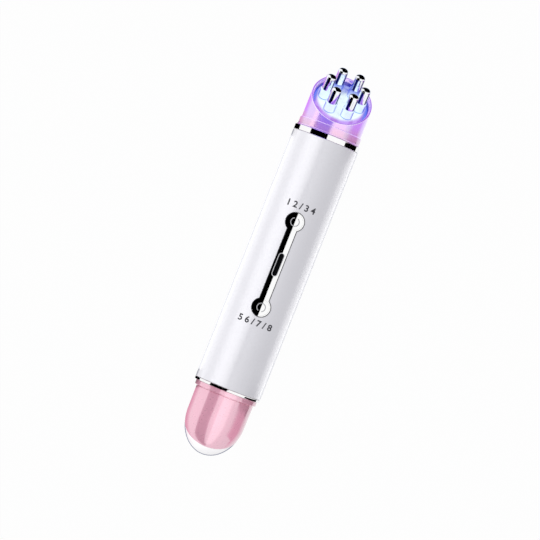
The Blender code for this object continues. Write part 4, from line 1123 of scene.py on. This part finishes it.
class MASSAGER_OT_pins(bpy.types.Operator):
    """Builds the six domed chrome pins"""

    bl_idname = "massager.pins"
    bl_label = "Pins"

    def execute(self, context):
        sizes = context.scene.massager_head
        seam = context.scene.massager_controls.seam
        # The second colour is that of the painted dark reflection streaks
        chrome = pin_finish((0.95, 0.97, 1.0), (0.006, 0.008, 0.12))
        shank = 0.0007
        shank_length = 0.0071
        edge = 0.00012
        squareness = 2.8
        low = sizes.pedestal_height - sizes.cup_depth + seam
        end = low - shank_length
        dome_low = low + sizes.pin_length - sizes.pin_dome
        dome = quarter_ellipse(sizes.pin_radius, sizes.pin_dome, PIN_DOME_STEPS, squareness)
        profile = [(0, end), (shank, end), (shank, low), (sizes.pin_radius, low, edge)]
        profile += [(radius, dome_low + height) for radius, height in dome]
        for number, place in enumerate(pin_places(), 1):
            pin = lathe(f"electrode_{number}_fine", profile, place, PIN_SEGMENTS, closed=False)
            new_piece(f"electrode_{number}_fine", pin, chrome, "handle", "pin_chrome", f"electrode_{number}")
        return {"FINISHED"}


class MASSAGER_OT_foot(bpy.types.Operator):
    """Builds the pink foot and the milky tip below its slanted seam"""

    bl_idname = "massager.foot"
    bl_label = "Foot"

    def execute(self, context):
        sizes = context.scene.massager_foot
        seam = context.scene.massager_controls.seam
        spigot = context.scene.massager_head.spigot_radius
        fine_edge = 0.0001
        flange_edge = 0.0002
        neck = 0.0003
        neck_edge = 0.00015
        chamfer = 0.00012
        bore_drop = 0.0010
        overrun = 0.001
        plug_back = 0.0022
        plug_radius = 0.0078
        plug_height = 0.0025
        plug_edge = 0.0002
        plug_fit = 0.0002
        hole_height = 0.0053
        tip = TIP_LOW.x
        flange = tip + sizes.length
        flange_high = flange + sizes.flange_thickness
        dome = quarter_ellipse(sizes.dome_radius, sizes.dome_height, DOME_STEPS)
        outside = [
            (sizes.radius - neck, flange),
            (sizes.radius - neck, flange - neck),
            (sizes.radius, flange - neck, neck_edge),
            *((radius, tip + sizes.dome_height - height) for radius, height in dome),
        ]
        profile = [
            (0, FOOT_HIGH.x),
            (spigot, FOOT_HIGH.x, fine_edge),
            *reversed(seal_groove("foot_seal", spigot, seam)),
            (spigot, flange_high),
            (sizes.flange_radius, flange_high, fine_edge),
            (sizes.flange_radius, flange, flange_edge),
            *outside,
        ]
        seam_frame = UPRIGHT @ Matrix.Translation((0, 0, tip + sizes.seam_height))
        seam_frame = seam_frame @ Matrix.Rotation(sizes.slant, 4, "Y")
        normal = seam_frame.to_3x3().col[2]
        plug_frame = seam_frame @ Matrix.Translation((-plug_back, 0, 0))
        # The pink body, bored out and opened for the tip's plug
        body = lathe("foot_sleeve_fine", profile, closed=False)
        body = cut_plane("foot_sleeve_fine", body, seam_frame.translation, -normal, chamfer)
        bore_low = tip + sizes.dome_height - bore_drop
        body = carve("foot_sleeve_fine", body, rod("bore", sizes.bore, bore_low, FOOT_HIGH.x + overrun))
        hole = rod("hole", plug_radius + plug_fit, -overrun, hole_height, plug_frame)
        body = carve("foot_sleeve_fine", body, hole)
        new_piece("foot_sleeve_fine", body, foot_finish(sizes.pink), "handle", "foot_pink", "foot_sleeve")
        # The milky tip and its plug
        whole = lathe("warm_tip_fine", [(0, flange), *outside], closed=False)
        gap = seam_frame.translation - normal * seam
        whole = cut_plane("warm_tip_fine", whole, gap, normal, chamfer)
        plug = rod("plug", plug_radius, -overrun, plug_height, plug_frame, edge=plug_edge)
        whole = carve("warm_tip_fine", whole, plug, "UNION")
        new_piece("warm_tip_fine", whole, tip_finish(sizes.milky), "handle", "milky_tip", "warm_tip")
        return {"FINISHED"}


class MASSAGER_OT_studio(bpy.types.Operator):
    """Builds the floor, the daylight, the lamps, the cards and the camera"""

    bl_idname = "massager.studio"
    bl_label = "Studio"

    def execute(self, context):
        sizes = context.scene.massager_studio
        scene = context.scene
        scene.view_settings.view_transform = "Standard"
        add_floor(sizes)
        add_daylight(sizes)
        add_lamps()
        add_cards(sizes.turn)
        add_camera(scene, sizes)
        return {"FINISHED"}


# Studio


def add_sheet(name, corners, material):
    """A flat sheet of the studio, from its corners in turn."""
    mesh = bpy.data.meshes.new(name)
    mesh.from_pydata(corners, [], [range(len(corners))])
    mesh.materials.append(material)
    return add_object(name, mesh)


def oblong(low, high, near, far, base, top):
    """Corners of a sheet along the handle from low to high, whose near edge is at base and far at top."""
    return [(low, near, base), (high, near, base), (high, far, top), (low, far, top)]


def seen_directly(tree):
    """1 for rays from the camera, from a mirror or through glass, and 0 for the others."""
    path = add_node(tree, "ShaderNodeLightPath").outputs
    mirrored = calculate(tree, "MAXIMUM", path["Is Glossy Ray"], path["Is Transmission Ray"])
    return calculate(tree, "MAXIMUM", path["Is Camera Ray"], mirrored)


def mix_shaders(tree, share, first, second, output):
    """Sends the first shader to the output where the share is 0, and the second where it is 1."""
    mixer = add_node(tree, "ShaderNodeMixShader")
    for given, socket in zip((share, first, second), mixer.inputs):
        feed(tree, given, socket)
    feed(tree, mixer.outputs["Shader"], tree.nodes[output].inputs["Surface"])


def floor_material(white_share):
    """Pale floor that the camera and mirrors see as nearly plain white, under the object's shadow."""
    plain = {"Base Color": (0.88, 0.88, 0.88), "Roughness": 0.9, "Specular IOR Level": 0.0}
    material, tree, shader = new_material("pale_floor", plain)
    white = add_node(tree, "ShaderNodeEmission")
    white.inputs["Color"].default_value = (1, 1, 1, 1)
    share = calculate(tree, "MULTIPLY", seen_directly(tree), white_share)
    mix_shaders(tree, share, shader.outputs["BSDF"], white.outputs["Emission"], "Material Output")
    return material


def add_floor(sizes):
    half = sizes.floor_size / 2
    floor = add_sheet("floor", oblong(-half, half, -half, half, 0, 0), floor_material(sizes.floor_white))


def add_daylight(sizes):
    """Even light from all round, which the camera and mirrors see as plain white."""
    world = bpy.data.worlds.new("daylight")
    world.use_nodes = True
    tree = world.node_tree
    sky = tree.nodes["Background"]
    sky.inputs["Color"].default_value = (0.97, 0.97, 1.0, 1)
    sky.inputs["Strength"].default_value = sizes.daylight
    white = add_node(tree, "ShaderNodeBackground")
    white.inputs["Color"].default_value = (1, 1, 1, 1)
    mix_shaders(
        tree, seen_directly(tree), sky.outputs["Background"], white.outputs["Background"], "World Output"
    )
    bpy.context.scene.world = world


def add_lamp(name, place, target, width, height, power, pieces, glossy=False):
    """An area lamp for the pieces named, or a sheet of light that only shows in their gloss."""
    light = bpy.data.lights.new(name, "AREA")
    light.shape = "RECTANGLE"
    light.size = width
    light.size_y = height
    light.energy = power
    lamp = add_object(name, light)
    lamp.location = place
    lamp.rotation_euler = (Vector(target) - Vector(place)).to_track_quat("-Z", "Y").to_euler()
    lamp.visible_glossy = glossy
    lamp.visible_diffuse = not glossy
    receivers = bpy.data.collections.new(name + "_pieces")
    for piece in pieces:
        receivers.objects.link(bpy.data.objects[piece])
    lamp.light_linking.receiver_collection = receivers
    return lamp


def add_glow(name, place, target, width, height, brightness, pieces):
    """A sheet of light that looks as bright in the gloss of pieces as that share of plain white."""
    power = brightness * width * height * math.pi
    return add_lamp(name, place, target, width, height, power, pieces, glossy=True)


def add_lamps():
    """A soft key, a fill for the foot, and sheets that show as sheens in the gloss of single pieces."""
    everything = [piece.name for piece in bpy.data.objects if piece.type == "MESH" and piece.name != "floor"]
    shell = ["handle_shell_fine"]
    foot = ["foot_sleeve_fine"]
    head = ["head_sleeve_fine"]
    fill_place = (-0.1, 0.05, 1.0)
    fill_target = (-0.06, 0, 0)
    fill_size = 0.6
    fill_power = 2.5
    key_place = (0.2, 1.3, 0.75)
    key_size = 0.8
    key_power = 7.5
    foot_and_tip = [*foot, "warm_tip_fine"]
    add_lamp("foot_fill", fill_place, fill_target, fill_size, fill_size, fill_power, foot_and_tip)
    add_lamp("key", key_place, (0, 0, 0), key_size, key_size, key_power, everything)
    # Above: both edges across, length and middle along the handle, brightness
    high = 0.39
    for name, low, top, length, along, brightness, pieces in (
        ("band", 0.17, 0.50, 0.50, 0, 3.0, shell),
        ("wide_band", 0.07, 0.85, 0.50, 0, 2.2, shell),
        ("foot_sheen", 0.008, 0.15, 1.60, -0.70, 0.9, foot),
        ("foot_glow", -0.30, 0.008, 1.60, -0.70, 0.45, foot),
        ("head_sheen", -0.60, -0.008, 0.50, 0.15, 0.5, head),
        ("head_side_sheen", 0.78, 3.0, 1.60, 0.40, 0.5, head),
    ):
        middle = (low + top) / 2
        place = (along, middle, high)
        lamp = add_glow(name, place, (along, middle, 0), length, top - low, brightness, pieces)
        if pieces is head:
            lamp.data.color = (1.0, 0.40, 0.45)
    # On the floor beside the shell: near and far edge, brightness
    floor = 0.001
    length = 0.11
    for name, near, far, brightness in (
        ("right_sheen", -0.022, -0.110, 1.2),
        ("left_sheen", 0.020, 0.110, 0.8),
    ):
        middle = (near + far) / 2
        add_glow(name, (0, middle, floor), (0, middle, 1), length, abs(far - near), brightness, shell)


def card_material(name, colour, fade=None):
    """A card of one colour, whatever light falls on it, or one that fades to white along an axis."""
    plain = {"Base Color": (0, 0, 0), "Roughness": 1.0, "Specular IOR Level": 0.0, "Emission Strength": 1.0}
    material, tree, shader = new_material(name, plain)
    if fade:
        axis, low, high = fade
        share = map_range(tree, split(tree, place_in_object(tree))[axis], low, high, smooth=True)
        colour = mix_colours(tree, share, colour, (1, 1, 1))
    feed(tree, colour, shader.inputs["Emission Color"])
    return material


def add_card(name, corners, material):
    """A studio card, which only mirrors see."""
    card = add_sheet(name, corners, material)
    card.visible_camera = False
    card.visible_diffuse = False
    card.visible_transmission = False
    card.visible_shadow = False


def add_cards(turn):
    """Dark cards for the bright trim and the pins, and coloured ones for the foot's and head's gloss."""
    dark = card_material("dark_card", (0, 0, 0))
    # Above, from straight up to the left
    high = 0.40
    far = 0.78
    edge = high * math.tan(turn)
    plate_end = 0.05
    head_end = 0.6
    foot_end = -4.5
    bend = (-0.61, 1.10)
    foot_far = 4.6
    add_card("card_above_plate", oblong(-plate_end, plate_end, -edge, far, high, high), dark)
    add_card("card_above_head", oblong(plate_end, head_end, edge, far, high, high), dark)
    outline = ((foot_end, edge), (-plate_end, edge), (-plate_end, far), bend, (foot_end, foot_far))
    add_card("card_above_foot", [(along, across, high) for along, across in outline], dark)
    # Beside the rings, the foot and the head, from these places along the handle
    floor = 0.0005
    tones = {"pink": (0.68, 0.30, 0.42), "violet": (0.65, 0.15, 0.90)}
    foot_ends = (-0.0460, -0.0528, -0.0935)
    head_ends = (0.0460, 0.0518, 0.0565, 0.0765)
    for side, drift, spread, near, dark_near, far, height, dark_height, fade in (
        ("left", 0, 0, 0.013, 0.013, 0.045, floor, floor, ("Y", 0.018, 0.045)),
        ("right", 0.0015, 0.0035, -0.020, -0.036, -0.070, floor, floor, ("Y", -0.055, -0.020)),
        ("wall", 0.0015, 0.0035, -0.070, -0.070, -0.070, 0.075, 0.054, ("Z", 0.028, 0.060)),
    ):
        handle, ring, tip = (end - drift for end in foot_ends)
        ring -= spread
        head_handle, head_ring, head_flange, head_rim = (end + drift for end in head_ends)
        finishes = {tone: card_material(f"{tone}_{side}_card", tones[tone], fade) for tone in tones}
        for name, low, top in (("foot_ring", ring, handle), ("head_ring", head_handle, head_ring)):
            corners = oblong(low, top, dark_near, far, floor, dark_height)
            add_card(f"card_{side}_{name}", corners, dark)
        for name, low, top, tone in (
            ("foot", tip, ring, "pink"),
            ("flange", head_ring, head_flange, "pink"),
            ("head", head_flange, head_rim, "violet"),
        ):
            corners = oblong(low, top, near, far, floor, height)
            add_card(f"card_{side}_{name}", corners, finishes[tone])
    # Beyond the head, seen in the tops of the pins
    start = 0.085
    end = 0.200
    right = -0.15
    left = 0.02
    wall = 0.1
    add_card("card_beyond", oblong(start, end, right, left, floor, floor), dark)
    corners = [(end, right, 0), (end, left, 0), (end, left, wall), (end, right, wall)]
    add_card("card_beyond_wall", corners, dark)


def add_camera(scene, sizes):
    """A long lens that looks down on the front of the massager."""
    low, high = CAD_BOX
    right = Vector((math.sin(sizes.lean), -math.cos(sizes.lean), 0))
    back = Vector((0, math.sin(sizes.turn), math.cos(sizes.turn)))
    right = (right - right.dot(back) * back).normalized()
    up = back.cross(right)
    middle = Vector(((low.x + high.x) / 2, 0, AXIS_HEIGHT))
    aim = middle - right * sizes.right - up * sizes.up
    lens = bpy.data.cameras.new("camera")
    lens.lens = sizes.lens
    lens.clip_end = 10
    camera = add_object("camera", lens)
    placed = Matrix((right, up, back)).transposed().to_4x4()
    placed.translation = aim + back * sizes.distance
    camera.matrix_world = placed
    scene.camera = camera


# Panel and registration


class MASSAGER_PT_panel(bpy.types.Panel):
    """Lists the sizes, the colours and the steps"""

    bl_idname = "MASSAGER_PT_panel"
    bl_label = "Massager"
    bl_space_type = "VIEW_3D"
    bl_region_type = "UI"
    bl_category = "Massager"

    def draw(self, context):
        for operator in OPERATORS:
            self.layout.operator(operator.bl_idname)
        for name, group in SETTINGS.items():
            box = self.layout.box()
            for key in group.__annotations__:
                box.prop(getattr(context.scene, name), key)


OPERATORS = (
    MASSAGER_OT_finishes,
    MASSAGER_OT_handle,
    MASSAGER_OT_rings,
    MASSAGER_OT_control_plate,
    MASSAGER_OT_buttons,
    MASSAGER_OT_prints,
    MASSAGER_OT_head,
    MASSAGER_OT_pins,
    MASSAGER_OT_foot,
    MASSAGER_OT_studio,
)


def register():
    for name, group in SETTINGS.items():
        bpy.utils.register_class(group)
        setattr(bpy.types.Scene, name, bpy.props.PointerProperty(type=group))
    for kind in (*OPERATORS, MASSAGER_PT_panel):
        bpy.utils.register_class(kind)


def unregister():
    for kind in reversed((*OPERATORS, MASSAGER_PT_panel)):
        bpy.utils.unregister_class(kind)
    for name, group in SETTINGS.items():
        delattr(bpy.types.Scene, name)
        bpy.utils.unregister_class(group)


def main():
    register()
    for operator in OPERATORS:
        space, name = operator.bl_idname.split(".")
        getattr(getattr(bpy.ops, space), name)()


if __name__ == "__main__":
    main()
